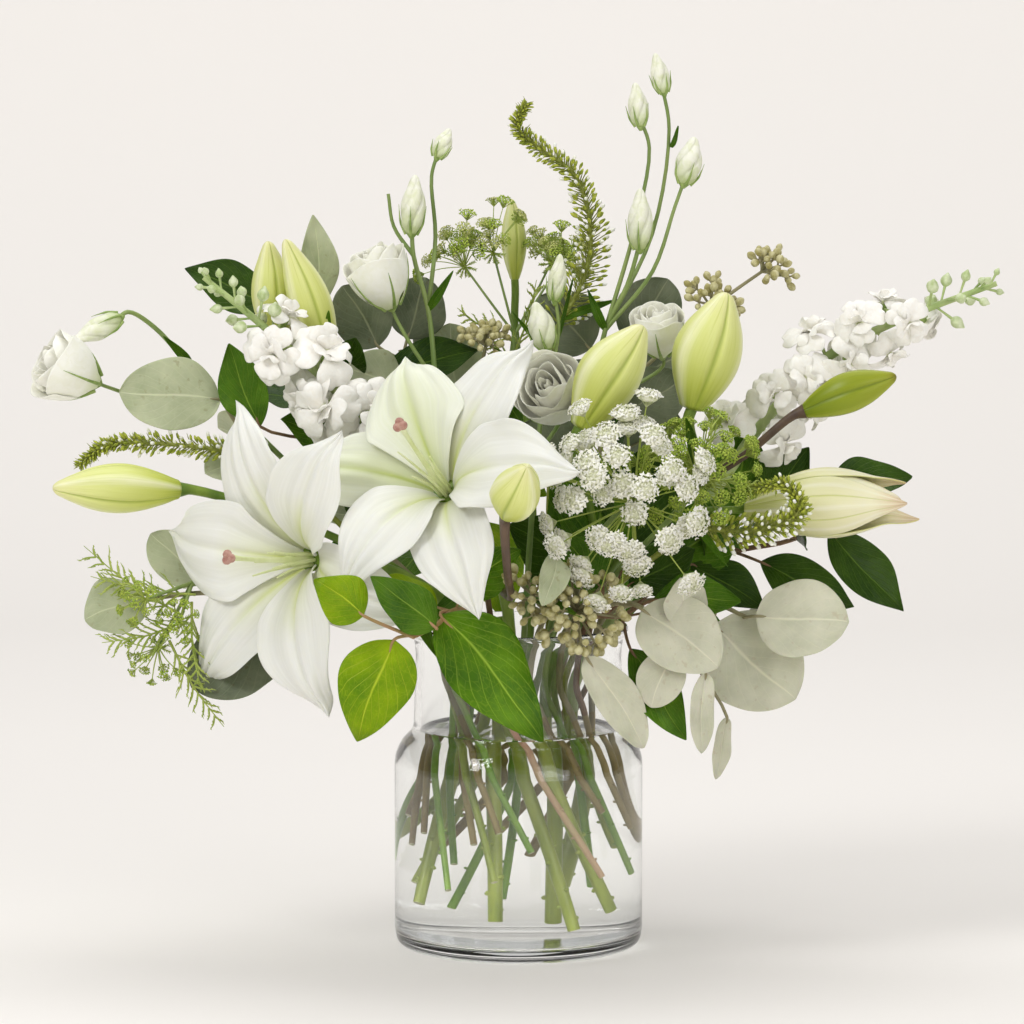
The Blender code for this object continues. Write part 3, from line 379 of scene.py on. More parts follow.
def grid(name, material, across, along, place, closed=False):
    """A sheet of across by along faces, each point moved to place(u, v), with u and v from 0 to 1
    kept as its UV map. A closed one is sewn to itself and gets outward faces."""
    deselect()
    bpy.ops.mesh.primitive_grid_add(x_subdivisions=across, y_subdivisions=along, size=1)
    obj = bpy.context.object
    obj.name = name
    for vert in obj.data.vertices:
        vert.co = place(vert.co.x + 0.5, vert.co.y + 0.5) * MM
    if closed:
        bpy.ops.object.mode_set(mode="EDIT")
        bpy.ops.mesh.select_all(action="SELECT")
        bpy.ops.mesh.remove_doubles(threshold=1e-6)
        bpy.ops.mesh.normals_make_consistent(inside=False)
        bpy.ops.object.mode_set(mode="OBJECT")
    obj.data.shade_smooth()
    return paint(obj, material)


def apply(obj, kind, **settings):
    modifier = obj.modifiers.new(kind.lower(), kind)
    for key, value in settings.items():
        setattr(modifier, key, value)
    bpy.context.view_layer.objects.active = obj
    bpy.ops.object.modifier_apply(modifier=modifier.name)
    return obj


def thicken(obj, thickness, rounds=0):
    """Gives a sheet its thickness and rounds it off."""
    apply(obj, "SOLIDIFY", thickness=thickness * MM, offset=0.0)
    if rounds:
        apply(obj, "SUBSURF", levels=rounds, render_levels=rounds)
    obj.data.shade_smooth()
    return obj


def flow(points, per=4):
    """A smooth curve through the points, with per steps from one to the next. Its bends are even,
    whatever the spacing, because it follows the chord lengths."""
    knots = [Vector(p) for p in points]
    if len(knots) < 3:
        return knots
    knots = [2 * knots[0] - knots[1], *knots, 2 * knots[-1] - knots[-2]]
    path = []
    for k in range(1, len(knots) - 2):
        a, b, c, d = knots[k - 1 : k + 3]
        ab, bc, cd = ((q - p).length ** 0.5 + 1e-6 for p, q in ((a, b), (b, c), (c, d)))
        out = (b - a) / ab - (c - a) / (ab + bc) + (c - b) / bc
        into = (c - b) / bc - (d - b) / (bc + cd) + (d - c) / cd
        for i in range(per):
            s = i / per
            path.append(
                b * (2 * s**3 - 3 * s**2 + 1) + out * bc * (s**3 - 2 * s**2 + s)
                + c * (3 * s**2 - 2 * s**3) + into * bc * (s**3 - s**2)
            )
    return [*path, knots[-2]]


def stalks(name, material, runs, roundness=2):
    """Round stalks as one mesh. Each run is a path and its radius, or its radii from end to end."""
    deselect()
    bpy.ops.curve.primitive_nurbs_path_add()
    obj = bpy.context.object
    obj.name = name
    obj.data.splines.clear()
    for path, radius in runs:
        spline = obj.data.splines.new("POLY")
        spline.points.add(len(path) - 1)
        radii = radius if isinstance(radius, (tuple, list)) else (radius, radius)
        for i, point in enumerate(path):
            at = i / (len(path) - 1) * (len(radii) - 1)
            k = min(int(at), len(radii) - 2)
            spline.points[i].co = (*(Vector(point) * MM), 1.0)
            spline.points[i].radius = radii[k] + (radii[k + 1] - radii[k]) * (at - k)
        spline.use_smooth = True
    obj.data.bevel_depth = MM
    obj.data.bevel_resolution = roundness
    obj.data.use_fill_caps = True
    bpy.ops.object.convert(target="MESH")
    obj = bpy.context.object
    return paint(obj, material)


def along(path, share):
    """The point and direction at a share of a path's steps."""
    at = share * (len(path) - 1)
    k = min(int(at), len(path) - 2)
    return path[k].lerp(path[k + 1], at - k), (path[k + 1] - path[k]).normalized()


def stood(point, direction, roll=0.0, size=1.0):
    """A matrix that stands a thing made on the origin along +Z at the point, along the direction."""
    turn = UP.rotation_difference(Vector(direction)) @ Quaternion(UP, roll)
    return Matrix.LocRotScale(Vector(point) * MM, turn, Vector((size, size, size)))


def copy_of(master, matrix):
    made = master.copy()
    made.data = master.data.copy()
    made.data.transform(matrix)
    bpy.context.scene.collection.objects.link(made)
    return made


def drop(*masters):
    for master in masters:
        bpy.data.objects.remove(master)


def gather(name, pieces):
    """Joins the pieces into one object that sits on the origin."""
    deselect()
    for piece in pieces:
        piece.select_set(True)
    bpy.context.view_layer.objects.active = pieces[0]
    if len(pieces) > 1:
        bpy.ops.object.join()
    obj = bpy.context.object
    obj.name = name
    obj.data.name = name
    return obj


def place_piece(obj, slot, *nodes):
    """Hands a finished piece to the frame in place of its CAD nodes."""
    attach(obj, "root")
    if nodes:
        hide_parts(*nodes)
    return obj


def smooth_step(low, high, value):
    t = min(1.0, max(0.0, (value - low) / (high - low)))
    return t * t * (3 - 2 * t)


def axes(base, tip):
    """The unit direction from base to tip, and two directions square to it and to each other."""
    ahead = (tip - base).normalized()
    side = (tip - base).orthogonal().normalized()
    return ahead, side, ahead.cross(side)


def blade_axes(base, tip, facing):
    """A blade's sideways direction, and its normal on the side that faces facing."""
    side = (tip - base).cross(facing).normalized()
    return side, side.cross(tip - base).normalized()


def waver(x, y, z, seed=0.0):
    """Smooth unevenness from -1 to 1."""
    return noise.noise(Vector((x + seed * 7.3, y - seed * 3.1, z + seed * 1.7)))


# ------------------------------------------------------------------ vase and water

GLASS = 3.2  # how thick the jar's wall is
FLOOR = 6.0  # how high its floor lies inside
NECK_R = 57.0
LIP_R = 60.5
SHOULDER_Z, NECK_Z = 106.0, 122.0


def rounded(corners, radius):
    """The open outline through the corners, each inner one rounded off."""
    steps = 5
    out = [Vector(corners[0])]
    for before, corner, after in zip(corners, corners[1:], corners[2:]):
        a, b, c = Vector(before), Vector(corner), Vector(after)
        cut = min(radius, (b - a).length * 0.45, (c - b).length * 0.45)
        start, end = b + (a - b).normalized() * cut, b + (c - b).normalized() * cut
        for i in range(steps + 1):
            s = i / steps
            out.append(start * (1 - s) ** 2 + b * 2 * s * (1 - s) + end * s * s)
    return [*out, Vector(corners[-1])]


def turned(name, material, outline):
    """Spins an outline of (radius, height) about the vase's axis."""
    deselect()
    bpy.ops.mesh.primitive_plane_add(size=1)
    obj = bpy.context.object
    obj.name = name
    bpy.ops.object.mode_set(mode="EDIT")
    bpy.ops.mesh.select_all(action="SELECT")
    bpy.ops.mesh.delete(type="ONLY_FACE")
    bpy.ops.object.mode_set(mode="OBJECT")
    mesh = obj.data
    mesh.clear_geometry()
    points = [(r * MM, 0.0, z * MM) for r, z in outline]
    mesh.from_pydata(points, [(i, i + 1) for i in range(len(points) - 1)], [])
    bpy.ops.object.mode_set(mode="EDIT")
    bpy.ops.mesh.select_all(action="SELECT")
    bpy.ops.mesh.spin(steps=128, angle=2 * math.pi, center=(0, 0, 0), axis=(0, 0, 1), dupli=False)
    bpy.ops.mesh.select_all(action="SELECT")
    bpy.ops.mesh.remove_doubles(threshold=1e-6)
    bpy.ops.mesh.normals_make_consistent(inside=False)
    bpy.ops.object.mode_set(mode="OBJECT")
    obj.data.shade_smooth()
    return paint(obj, material)


def jar():
    """Pressed glass jar: thick pushed-up floor, round foot, straight body, shoulder and flared lip."""
    outer = [(0, 1.6), (46, 1.2), (54, 0.0), (BODY_R - 6, 0.0), (BODY_R - 1.2, 3.2), (BODY_R, 10),
             (BODY_R, SHOULDER_Z), (BODY_R - 4, SHOULDER_Z + 9), (NECK_R + 1, NECK_Z - 1),
             (NECK_R - 0.4, VASE_H - 16), (NECK_R + 0.8, VASE_H - 7), (LIP_R, VASE_H - 3.2),
             (LIP_R - 0.3, VASE_H - 0.6)]
    inner = [(LIP_R - 2.6, VASE_H), (LIP_R - 4.0, VASE_H - 3), (NECK_R - GLASS + 0.8, VASE_H - 8),
             (NECK_R - GLASS - 0.4, VASE_H - 17), (NECK_R - GLASS + 0.6, NECK_Z - 2),
             (BODY_R - GLASS - 4.4, SHOULDER_Z + 7),
             (BODY_R - GLASS, SHOULDER_Z - 2), (BODY_R - GLASS, FLOOR + 9),
             (BODY_R - GLASS - 3.5, FLOOR + 2.4), (BODY_R - 16, FLOOR), (0, FLOOR)]
    return turned("glass_jar", JAR_GLASS, rounded([*outer, *inner], 5.0))


def still_water():
    """Water fills the jar to just above the shoulder and climbs a little up the glass."""
    lap = 0.15  # the water meets the glass, so the two share a skin
    side = [(BODY_R - 16, FLOOR - lap), (BODY_R - GLASS - 3.5 + lap, FLOOR + 2.4 - lap),
            (BODY_R - GLASS + lap, FLOOR + 9),
            (BODY_R - GLASS + lap, SHOULDER_Z - 2), (BODY_R - GLASS - 4.4 + lap, SHOULDER_Z + 7)]
    top = WATER_TOP
    edge = NECK_R - GLASS + 0.6 + lap
    outline = rounded([(0, FLOOR - lap), *side, (edge, top + 0.2)], 5.0)
    outline += [
        Vector((edge - 0.1, top + 0.6)), Vector((edge - 1.4, top - 0.6)), Vector((edge - 4, top - 1.2)),
        Vector((0, top - 1.2))
    ]
    return turned("water_in_jar", STILL_WATER, outline)


# ------------------------------------------------------------------ stems

STEMS = {
    "lily_left": (14, (-14, -18, 150), (-44, -16, 196)),
    "lily_centre": (22, (-2, -28, 150), (-8, -30, 200)),
    "lily_right": (12, (16, -6, 150), (46, -14, 206), (80, -24, 244), (98, -30, 260)),
    "lily_upper": (26, (-12, 29, 150), (-60, 26, 232), (-95, 24, 286), (-114, 22, 308)),
    "lily_back": (34, (4, 30, 150), (8, 52, 205), (6, 74, 275), (-2, 88, 335)),
    "lisianthus_left": (
        38, (-36, 18, 150), (-46, 22, 186), (-88, 28, 226), (-142, 36, 278), (-182, 40, 318)
    ),
    "lisianthus_upper": (50, (-24, 17, 150), (-42, 26, 240), (-46, 32, 310), (-50, 34, 350)),
    "lisianthus_tall": (20, (12, 18, 150), (30, 24, 230), (42, 30, 300), (48, 30, 339)),
    "lisianthus_centre": (28, (2, 5, 150), (6, 6, 220), (10, 12, 270), (14, 16, 306)),
    "stock_left": (18, (-12, 5, 150), (-48, -2, 216), (-72, -12, 270)),
    "stock_right": (30, (32, -3, 150), (68, 0, 205), (106, 2, 250)),
    "lace_white": (40, (14, -33, 150), (28, -54, 205), (52, -68, 246)),
    "lace_green": (32, (20, -15, 150), (50, -30, 206), (84, -46, 244)),
    "lace_top": (46, (-4, 43, 150), (-9, 48, 230), (-6, 56, 300)),
    "lace_left": (60, (-36, -22, 150), (-45, -27, 188), (-108, -32, 204), (-160, -34, 206)),
    "loosestrife_top": (36, (14, 41, 150), (17, 43, 240), (20, 45, 320)),
    "loosestrife_left": (44, (-40, -2, 150), (-49, -2, 184), (-78, 0, 214), (-120, 2, 255)),
    "loosestrife_right": (54, (25, -23, 150), (46, -35, 196), (80, -62, 228)),
    "gum_left": (62, (-31, 6, 150), (-44, 12, 186), (-88, 20, 228), (-140, 16, 266), (-160, 10, 296)),
    "gum_low_left": (70, (-40, -12, 150), (-48, -14, 187), (-110, -20, 200), (-150, -30, 200)),
    "gum_back_left": (58, (-20, 36, 150), (-40, 48, 240), (-60, 52, 306)),
    "gum_back_right": (48, (25, 31, 150), (38, 48, 232), (52, 58, 300)),
    "gum_right": (66, (22, -38, 150), (28, -47, 185), (60, -79, 200), (80, -88, 190)),
    "gum_far_right": (40, (40, -18, 150), (47, -22, 186), (100, -48, 198), (124, -60, 190)),
    "gum_front": (78, (6, -42, 150), (13, -49, 186), (30, -80, 203)),
    "salal_front": (
        44, (-15, -38, 150), (-20, -47, 186), (-34, -84, 197), (-45, -114, 192), (-56, -136, 189)
    ),
    "salal_left": (66, (-31, 29, 150), (-38, 36, 186), (-74, 46, 240), (-108, 56, 306)),
    "salal_right": (46, (41, 10, 150), (49, 10, 186), (116, 2, 218), (150, -4, 226)),
    "salal_back_left": (72, (-13, 41, 150), (-17, 48, 186), (-26, 78, 232), (-34, 96, 258)),
    "salal_back_right": (60, (36, 22, 150), (42, 28, 186), (60, 66, 226), (72, 86, 246)),
    "salal_low_right": (74, (31, -31, 150), (38, -36, 185), (56, -58, 190)),
}
TWIST = math.radians(85)  # the turn that the bunch takes from the neck down to the jar's floor
SPREAD = 1.7  # how much wider it stands there


def stem_path(name, *more, per=5):
    """From the cut foot, up through the water with a slight bow, and on by the stem's own points."""
    height, (x, y, top) = STEMS[name][0], STEMS[name][1]
    seed = len(name) * 1.7 + x
    climb = []
    for i in range(5):
        z = height + (top - height) * i / 5
        down = (top - z) / (top - FLOOR)
        place = ((1 - down) + down * SPREAD * cmath.exp(1j * TWIST)) * complex(x, y)
        bow = 2.2 * math.sin(math.pi * i / 5)
        climb.append((place.real + bow * math.cos(seed), place.imag + bow * math.sin(seed), z))
    return flow([*climb, *STEMS[name][1:], *more], per)


def cut_foot(name, path, radius):
    """The slanted cut at a stem's foot, with its paler pith."""
    start, ahead = path[0], (path[0] - path[1]).normalized()
    return stalks(name + "_cut", CUT_END, [([start - ahead * 0.5, start + ahead * 0.25], radius * 0.86)])


def leafless_knots(path, radius, count):
    """Small swellings where the lower leaves were stripped off."""
    first, last = 0.02, 0.5
    runs = []
    for i in range(count):
        point, ahead = along(path, first + (last - first) * (i + 0.5) / count)
        out = (Quaternion(ahead, GOLDEN * i) @ ahead.orthogonal()).normalized()
        runs.append(([point, point + out * (radius + 0.5), point + out * (radius + 1.1) + ahead * 0.4],
                     (radius * 0.5, radius * 0.4, radius * 0.25)))
    return runs


def main_stem(name, path, material, radius, knots=5):
    """A main stem whose part under water is duller, with leaf scars and a cut foot."""
    wet = [p for p in path if p.z < WATER_TOP + 12]
    dry = path[len(wet) - 1 :]
    radii = radius if isinstance(radius, (tuple, list)) else (radius, radius)
    wet_skins = {WOODY_TWIG: WET_BROWN, GUM_STALK: WET_BROWN, PINK_TWIG: WET_FLUSHED, FINE_STEM: WET_BRIGHT}
    skin = wet_skins.get(material, WET_STEM)
    parts = [stalks(name + "_wet", skin, [(wet, radii[0]), *leafless_knots(wet, radii[0], knots)], 3)]
    parts.append(stalks(name + "_dry", material, [(dry, radii)], 3))
    parts.append(cut_foot(name, path, radii[0]))
    return parts


def shaped(values, share):
    """Even steps of values read smoothly at a share of the way from first to last."""
    at = share * (len(values) - 1)
    k = min(int(at), len(values) - 2)
    u = at - k
    a, b, c, d = values[max(k - 1, 0)], values[k], values[k + 1], values[min(k + 2, len(values) - 1)]
    return 0.5 * (2 * b + (c - a) * u + (2 * a - 5 * b + 4 * c - d) * u**2 + (3 * b - a - 3 * c + d) * u**3)


def spread(axis, count, cap, start=0.0):
    """count directions spaced evenly over a round cap about the axis."""
    turn = UP.rotation_difference(Vector(axis))
    found = []
    for i in range(count):
        z = 1 - (1 - math.cos(math.radians(cap))) * (i + 0.5) / count
        a, r = GOLDEN * i + start, math.sqrt(max(0.0, 1 - z * z))
        found.append(turn @ Vector((r * math.cos(a), r * math.sin(a), z)))
    return found


def scatter(name, master, matrices):
    """One object from a copy of the master at each matrix."""
    made = [copy_of(master, matrix) for matrix in matrices]
    drop(master)
    return gather(name, made)


def shell(name, material, base, tip, profile, sag=(0, 0, 0), lobes=3, lobed=0.05, groove=0.05,
          rib=0.0, twist=0.0, around=36, rows=36, blunt=0.05):
    """A closed bud about the line from base to tip, lobed like the petals that wrap it."""
    base, tip = Vector(base), Vector(tip)
    path = flow((base, (base + tip) / 2 + Vector(sag), tip), 20)
    _, side, other = axes(base, tip)

    def place(u, v):
        share = 0.5 - 0.5 * math.cos(math.pi * v)
        point = along(path, share)[0]
        turn = 2 * math.pi * u + twist * share
        lobe = (u * lobes) % 1.0
        fade = smooth_step(0.0, 0.12, share)
        swell = -lobed * math.cos(2 * math.pi * lobe) + rib * math.exp(-(((lobe - 0.5) / 0.07) ** 2))
        swell -= groove * math.exp(-((min(lobe, 1 - lobe) / 0.05) ** 2))
        radius = shaped(profile, share) * (1 + swell * fade)
        radius *= math.sqrt(max(0.0, 1 - (1 - min(1.0, share / 0.03)) ** 2))
        radius *= math.sqrt(max(0.0, 1 - (1 - min(1.0, (1 - share) / blunt)) ** 2))
        return point + (side * math.cos(turn) + other * math.sin(turn)) * radius

    return grid(name, material, around, rows, place, closed=True)


def blob(name, material, centre, radii, turn=None, detail=2):
    """A small rounded lump with its own radius along each axis."""
    deselect()
    bpy.ops.mesh.primitive_ico_sphere_add(subdivisions=detail, radius=1.0)
    obj = bpy.context.object
    obj.name = name
    turn = turn or Quaternion()
    obj.data.transform(Matrix.LocRotScale(Vector(centre) * MM, turn, Vector(radii) * MM))
    obj.data.shade_smooth()
    return paint(obj, material)


# ------------------------------------------------------------------ lilies


class Flower:
    """Where an open lily sits: its heart, the way it faces, and its own up and right."""

    def __init__(self, heart, facing):
        self.heart = Vector(heart)
        self.facing = Vector(facing).normalized()
        self.up = (UP - self.facing * self.facing.z).normalized()
        self.right = self.up.cross(self.facing)

    def point(self, forward, outward, turn):
        spoke = self.up * math.cos(turn) + self.right * math.sin(turn)
        return self.heart + self.facing * forward + spoke * outward


LILY_LEFT = Flower((-112, -60, 222), (-0.6, -0.78, 0.02))
LILY_CENTRE = Flower((-39, -75, 260), (-0.36, -0.78, 0.52))
# (turn about the facing direction in degrees, length, width, lean at the tip in degrees, inner
# whorl, how deep its edge ruffles, how far the tip curls on)
PETALS_LEFT = (
    (-26, 98, 42, 112, False, 1.6, 24),
    (28, 94, 50, 104, True, 2.4, 44),
    (105, 96, 42, 118, False, 1.8, 20),
    (155, 102, 52, 98, True, 2.2, 40),
    (220, 101, 42, 108, False, 1.8, 26),
    (277, 93, 58, 108, True, 1.2, 30),
)
PETALS_CENTRE = (
    (-26, 86, 60, 104, True, 1.6, 46),
    (26, 96, 42, 108, False, 2.4, 20),
    (88, 100, 54, 104, True, 2.4, 30),
    (150, 96, 46, 112, False, 1.6, 28),
    (203, 93, 46, 98, True, 2.0, 34),
    (270, 92, 44, 116, False, 1.6, 24),
)
WRAP = 0.78  # the most that a petal reaches round the flower to each side, in radians
LILY_BASE_R = 5.0


def lily_petal(name, material, flower, values, seed):
    """A tepal: it leaves the heart nearly along the facing direction and leans out to a tip that
    curls back. It has a furrow down its midrib, a raised ridge on each side and a ruffled edge."""
    turn, length, width, lean, inner, ruffle, curl = values
    turn = math.radians(turn)
    start = 20 if inner else 30
    steps = 60
    spine = [(0.6, LILY_BASE_R + (0.0 if inner else 1.9), math.radians(start))]
    for i in range(steps):
        share = (i + 0.5) / steps
        angle = (
            start + (lean - start) * min(1.0, (share + 0.03) * 1.15)
            + curl * smooth_step(0.72, 1.0, share)
        )
        angle = math.radians(angle)
        forward, outward = spine[-1][:2]
        spine.append(
            (forward + math.cos(angle) * length / steps, outward + math.sin(angle) * length / steps, angle)
        )

    def place(u, v):
        t = 2 * u - 1
        at = v * steps
        k = min(int(at), steps - 1)
        forward, outward, angle = (a + (b - a) * (at - k) for a, b in zip(spine[k], spine[k + 1]))
        broad = 0.60 if inner else 0.72
        half = 2.2 * (1 - v) + width / 2 * max(0.0, math.sin(math.pi * v**0.99)) ** broad + 0.25
        half *= 1 + 0.07 * waver(v * 5, t * 0.4, 2 + (t > 0), seed) * smooth_step(0.15, 0.5, v)
        half *= 1 - 0.36 * smooth_step(0.62, 1.0, v)
        reach = min(half / outward, WRAP)
        body = smooth_step(0.12, 0.4, v) * (1 - 0.6 * smooth_step(0.75, 1.0, v))
        furrow = -1.5 * math.exp(-((t / 0.085) ** 2)) * body
        ridges = 1.3 * math.exp(-(((abs(t) - 0.2) / 0.12) ** 2)) * body
        folds = -1.0 * math.exp(-(((abs(t) - 0.5 - 0.1 * math.sin(seed + t)) / 0.1) ** 2)) * body
        folds += (
            0.45 * math.sin(21 * t + 2 * seed) * smooth_step(0.35, 0.7, v)
            * (1 - smooth_step(0.8, 1.0, v)) * abs(t)
        )
        edge = abs(t) ** 3 * smooth_step(0.2, 0.55, v)
        ruffles = (
            ruffle * edge * math.sin(15 * v + seed * 2.1 + (2.2 if t > 0 else 0))
            * (1 + 0.5 * waver(v * 3, t, 0, seed))
        )
        roll = -2.8 * abs(t) ** 2.4 * smooth_step(0.35, 0.9, v)
        sway = 2.2 * waver(t * 0.8, v * 1.6, 5, seed) * smooth_step(0.2, 0.8, v)
        nib = 3.6 * smooth_step(0.9, 1.0, v) ** 2 * (1 - 0.5 * t * t)
        lift = furrow + ridges + folds + ruffles + roll + sway + nib
        side = 0.05 * waver(v * 2.0, 0, 9, seed) * smooth_step(0.2, 1.0, v)
        return flower.point(
            forward + lift * math.sin(angle), outward - lift * math.cos(angle), turn + t * reach + side
        )

    return thicken(grid(name, material, 22, 34, place), 0.75, 1)


def lily_heart(name, flower, seed):
    """Green ovary, long style and three-lobed mauve stigma, with the pale filaments whose anthers
    the florist took off."""
    heart, ahead, up = flower.heart, flower.facing, flower.up
    style = [
        heart + ahead * a + up * (0.02 * a + 0.0009 * a * a)
        for a in (1, 8, 16, 21, 26, 38, 50, 60, 66, 69)
    ]
    parts = [
        stalks(
            name + "_style", PISTIL_SKIN,
            [(flow(style, 3), (2.6, 3.3, 3.4, 2.3, 1.5, 1.25, 1.2, 1.3, 1.8, 2.6))], 4
        )
    ]
    end = style[-1]
    for i in range(3):
        spoke = Quaternion(ahead, 2 * math.pi * i / 3 + 0.4) @ up
        turn = UP.rotation_difference((spoke + ahead * 0.3).normalized())
        parts.append(
            blob(f"{name}_lobe_{i}", STIGMA_SKIN, end + spoke * 1.7 + ahead * 1.0, (2.6, 2.6, 2.7), turn)
        )
    runs = []
    for i in range(6):
        spoke = Quaternion(ahead, math.radians(60 * i + 24)) @ up
        long = 40 + 7 * math.sin(seed + 2.4 * i)
        lean = 0.12 + 0.05 * math.sin(seed + i)
        points = [
            heart + ahead * (a * long) + spoke * (3.2 + lean * a * a * long)
            for a in (0.03, 0.3, 0.6, 0.85, 1.0)
        ]
        runs.append((flow(points, 3), (1.1, 0.9, 0.75, 0.6, 0.45)))
    parts.append(stalks(name + "_filaments", PISTIL_SKIN, runs, 2))
    return gather(name, parts)


BUD = (0.36, 0.62, 0.85, 0.98, 0.96, 0.80, 0.52, 0.22)
LILY_BUDS = {
    "lily_bud_far_left": ((-184, -25, 256), (-253, -45, 259), 13.5, (0, 0, 1)),
    "lily_bud_front": ((-6, -145, 255), (4, -181, 284), 13.0, (0, 0, 0)),
    "lily_bud_tall_left": ((33, -58, 292), (67, -50, 348), 17.0, (-2, 0, 2)),
    "lily_bud_tall_right": ((94, -30, 300), (113, -26, 364), 18.5, (-2, 0, 0)),
    "lily_bud_green": ((154, -50, 301), (204, -55, 321), 11.0, (0, 0, 1)),
    "lily_bud_opening": ((124, -32, 246), (210, -52, 253), 19.0, (0, 0, 1)),
    "lily_bud_upper_left": ((-133, 27, 331), (-138, 18, 389), 11.5, (-1, 0, 0)),
    "lily_bud_upper_right": ((-104, 16, 318), (-128, 3, 391), 11.5, (1, 0, 1)),
    "lily_bud_back": ((-2, 92, 362), (-4, 90, 408), 7.0, (0, 0, 0)),
}


def lily_bud(name, material):
    base, tip, radius, sag = LILY_BUDS[name]
    profile = [radius * share for share in BUD]
    return shell(name + "_look", material, base, tip, profile, sag, 3, 0.045, 0.10, 0.06, 0.25, 60, 48)


def opening_bud(name, material):
    """A bud on the point of opening: three outer tepals stand a little off the closed inner ones,
    and their tips part."""
    base, tip, radius, sag = LILY_BUDS[name]
    base, tip = Vector(base), Vector(tip)
    profile = [radius * share for share in (0.30, 0.52, 0.76, 0.88, 0.86, 0.72, 0.46, 0.14)]
    parts = [
        shell(name + "_core", material, base, base.lerp(tip, 0.97), profile, sag, 3, 0.05, 0.08, 0.03, 0.2)
    ]
    outside = [radius * share for share in (0.32, 0.60, 0.84, 0.98, 0.98, 0.84, 0.60, 0.34)]
    ahead, side, other = axes(base, tip)
    for i in range(3):
        def place(u, v, middle=2 * math.pi * (i + 0.15) / 3, late=i):
            t = 2 * u - 1
            wide = 1.02 * max(0.0, 1 - (max(0.0, v - 0.55) / 0.45) ** 1.7) + 0.03
            turn = middle + t * wide
            out = (
                shaped(outside, v) * (1.0 - 0.03 * t * t)
                + 3.6 * smooth_step(0.78, 1.0, v) * (1 + 0.5 * late)
            )
            out += 0.9 * math.exp(-((t / 0.12) ** 2)) * (1 - v) + 0.8 * waver(t, v * 3, late) * v
            reach = v * (1.0 + 0.03 * late) * (tip - base).length
            return base + ahead * reach + Vector(sag) * (4 * v * (1 - v)) + (
                side * math.cos(turn) + other * math.sin(turn)
            ) * out
        parts.append(thicken(grid(f"{name}_tepal_{i}", material, 18, 26, place), 0.9, 1))
    return gather(name + "_look", parts)


def short_of(base, tip):
    """The last points of a stem that ends in a bud's or a bloom's base."""
    base, tip = Vector(base), Vector(tip)
    back = (base - tip).normalized()
    return base + back * 6, base - back * 1.0


def under(name):
    return short_of(*(LILY_BUDS | BLOOMS)[name][:2])


BLOOMS = {
    "lisianthus_bloom_left": ((-232, 15, 311), (-262, 5, 325), 17.5),
    "lisianthus_bloom_upper": ((-70, 24, 352), (-82, 19, 384), 16.5),
    "lisianthus_bloom_centre": ((24, 2, 298), (13, -34, 317), 18.5),
    "lisianthus_bloom_right": ((79, 14, 326), (75, 4, 352), 14.0),
}


def lance_leaf(name, base, tip, facing, width, material=None, bend=3.0, fold=0.12, rows=14):
    """A lily leaf: a narrow keeled blade."""
    base, tip, facing = Vector(base), Vector(tip), Vector(facing)
    side, normal = blade_axes(base, tip, facing)

    def place(u, v):
        t = 2 * u - 1
        half = width / 2 * max(0.0, math.sin(math.pi * (0.06 + 0.94 * v) ** 0.7)) ** 0.9 + 0.15
        lift = bend * 4 * v * (1 - v) + fold * half * abs(t) * 2 + 0.6 * math.sin(6 * v + t)
        return base.lerp(tip, v) + side * (half * t) + normal * lift

    return thicken(grid(name, material or SALAL_MID, 6, rows, place), 0.5, 1)


def lily_stem(name, path, branches, radii, leaves=(), flushed=None):
    """A lily stem, its side branches and the few leaves left on it. One branch may take the dark
    brown pedicel skin: the stalk's flush on the right stem, painted shade on the centre stem.
    """
    parts = main_stem(name, path, LILY_STEM, radii, 7)
    for i, branch in enumerate(branches):
        skin = PEDICEL_BROWN if i == flushed else LILY_STEM
        radii = (2.5, 2.3, 2.2, 2.3, 3.0, 4.2)
        parts.append(stalks(f"{name}_branch_{i}", skin, [(flow(branch, 6), radii)], 3))
    for i, leaf in enumerate(leaves):
        parts.append(lance_leaf(f"{name}_leaf_{i}", *leaf))
    return gather(name, parts)


def lilies():
    for side, flower, petals in (("left", LILY_LEFT, PETALS_LEFT), ("centre", LILY_CENTRE, PETALS_CENTRE)):
        for i, values in enumerate(petals):
            greenish = side == "centre" and i in (0, 5)
            made = lily_petal(
                f"lily_{side}_tepal_{i + 1}", LILY_GREENISH if greenish else LILY_WHITE, flower, values,
                i + len(side)
            )
            place_piece(made, "lily_petal", f"lily_{side}_petal_{i + 1}")
        place_piece(
            lily_heart(f"lily_{side}_heart", flower, len(side)), "lily_pistil", f"lily_{side}_pistil"
        )
    for name in LILY_BUDS:
        if name == "lily_bud_opening":
            made = opening_bud(name, BUD_CREAM)
        else:
            made = lily_bud(name, BUD_GREEN if name == "lily_bud_green" else BUD_PALE)
        place_piece(made, "lily_bud", name)


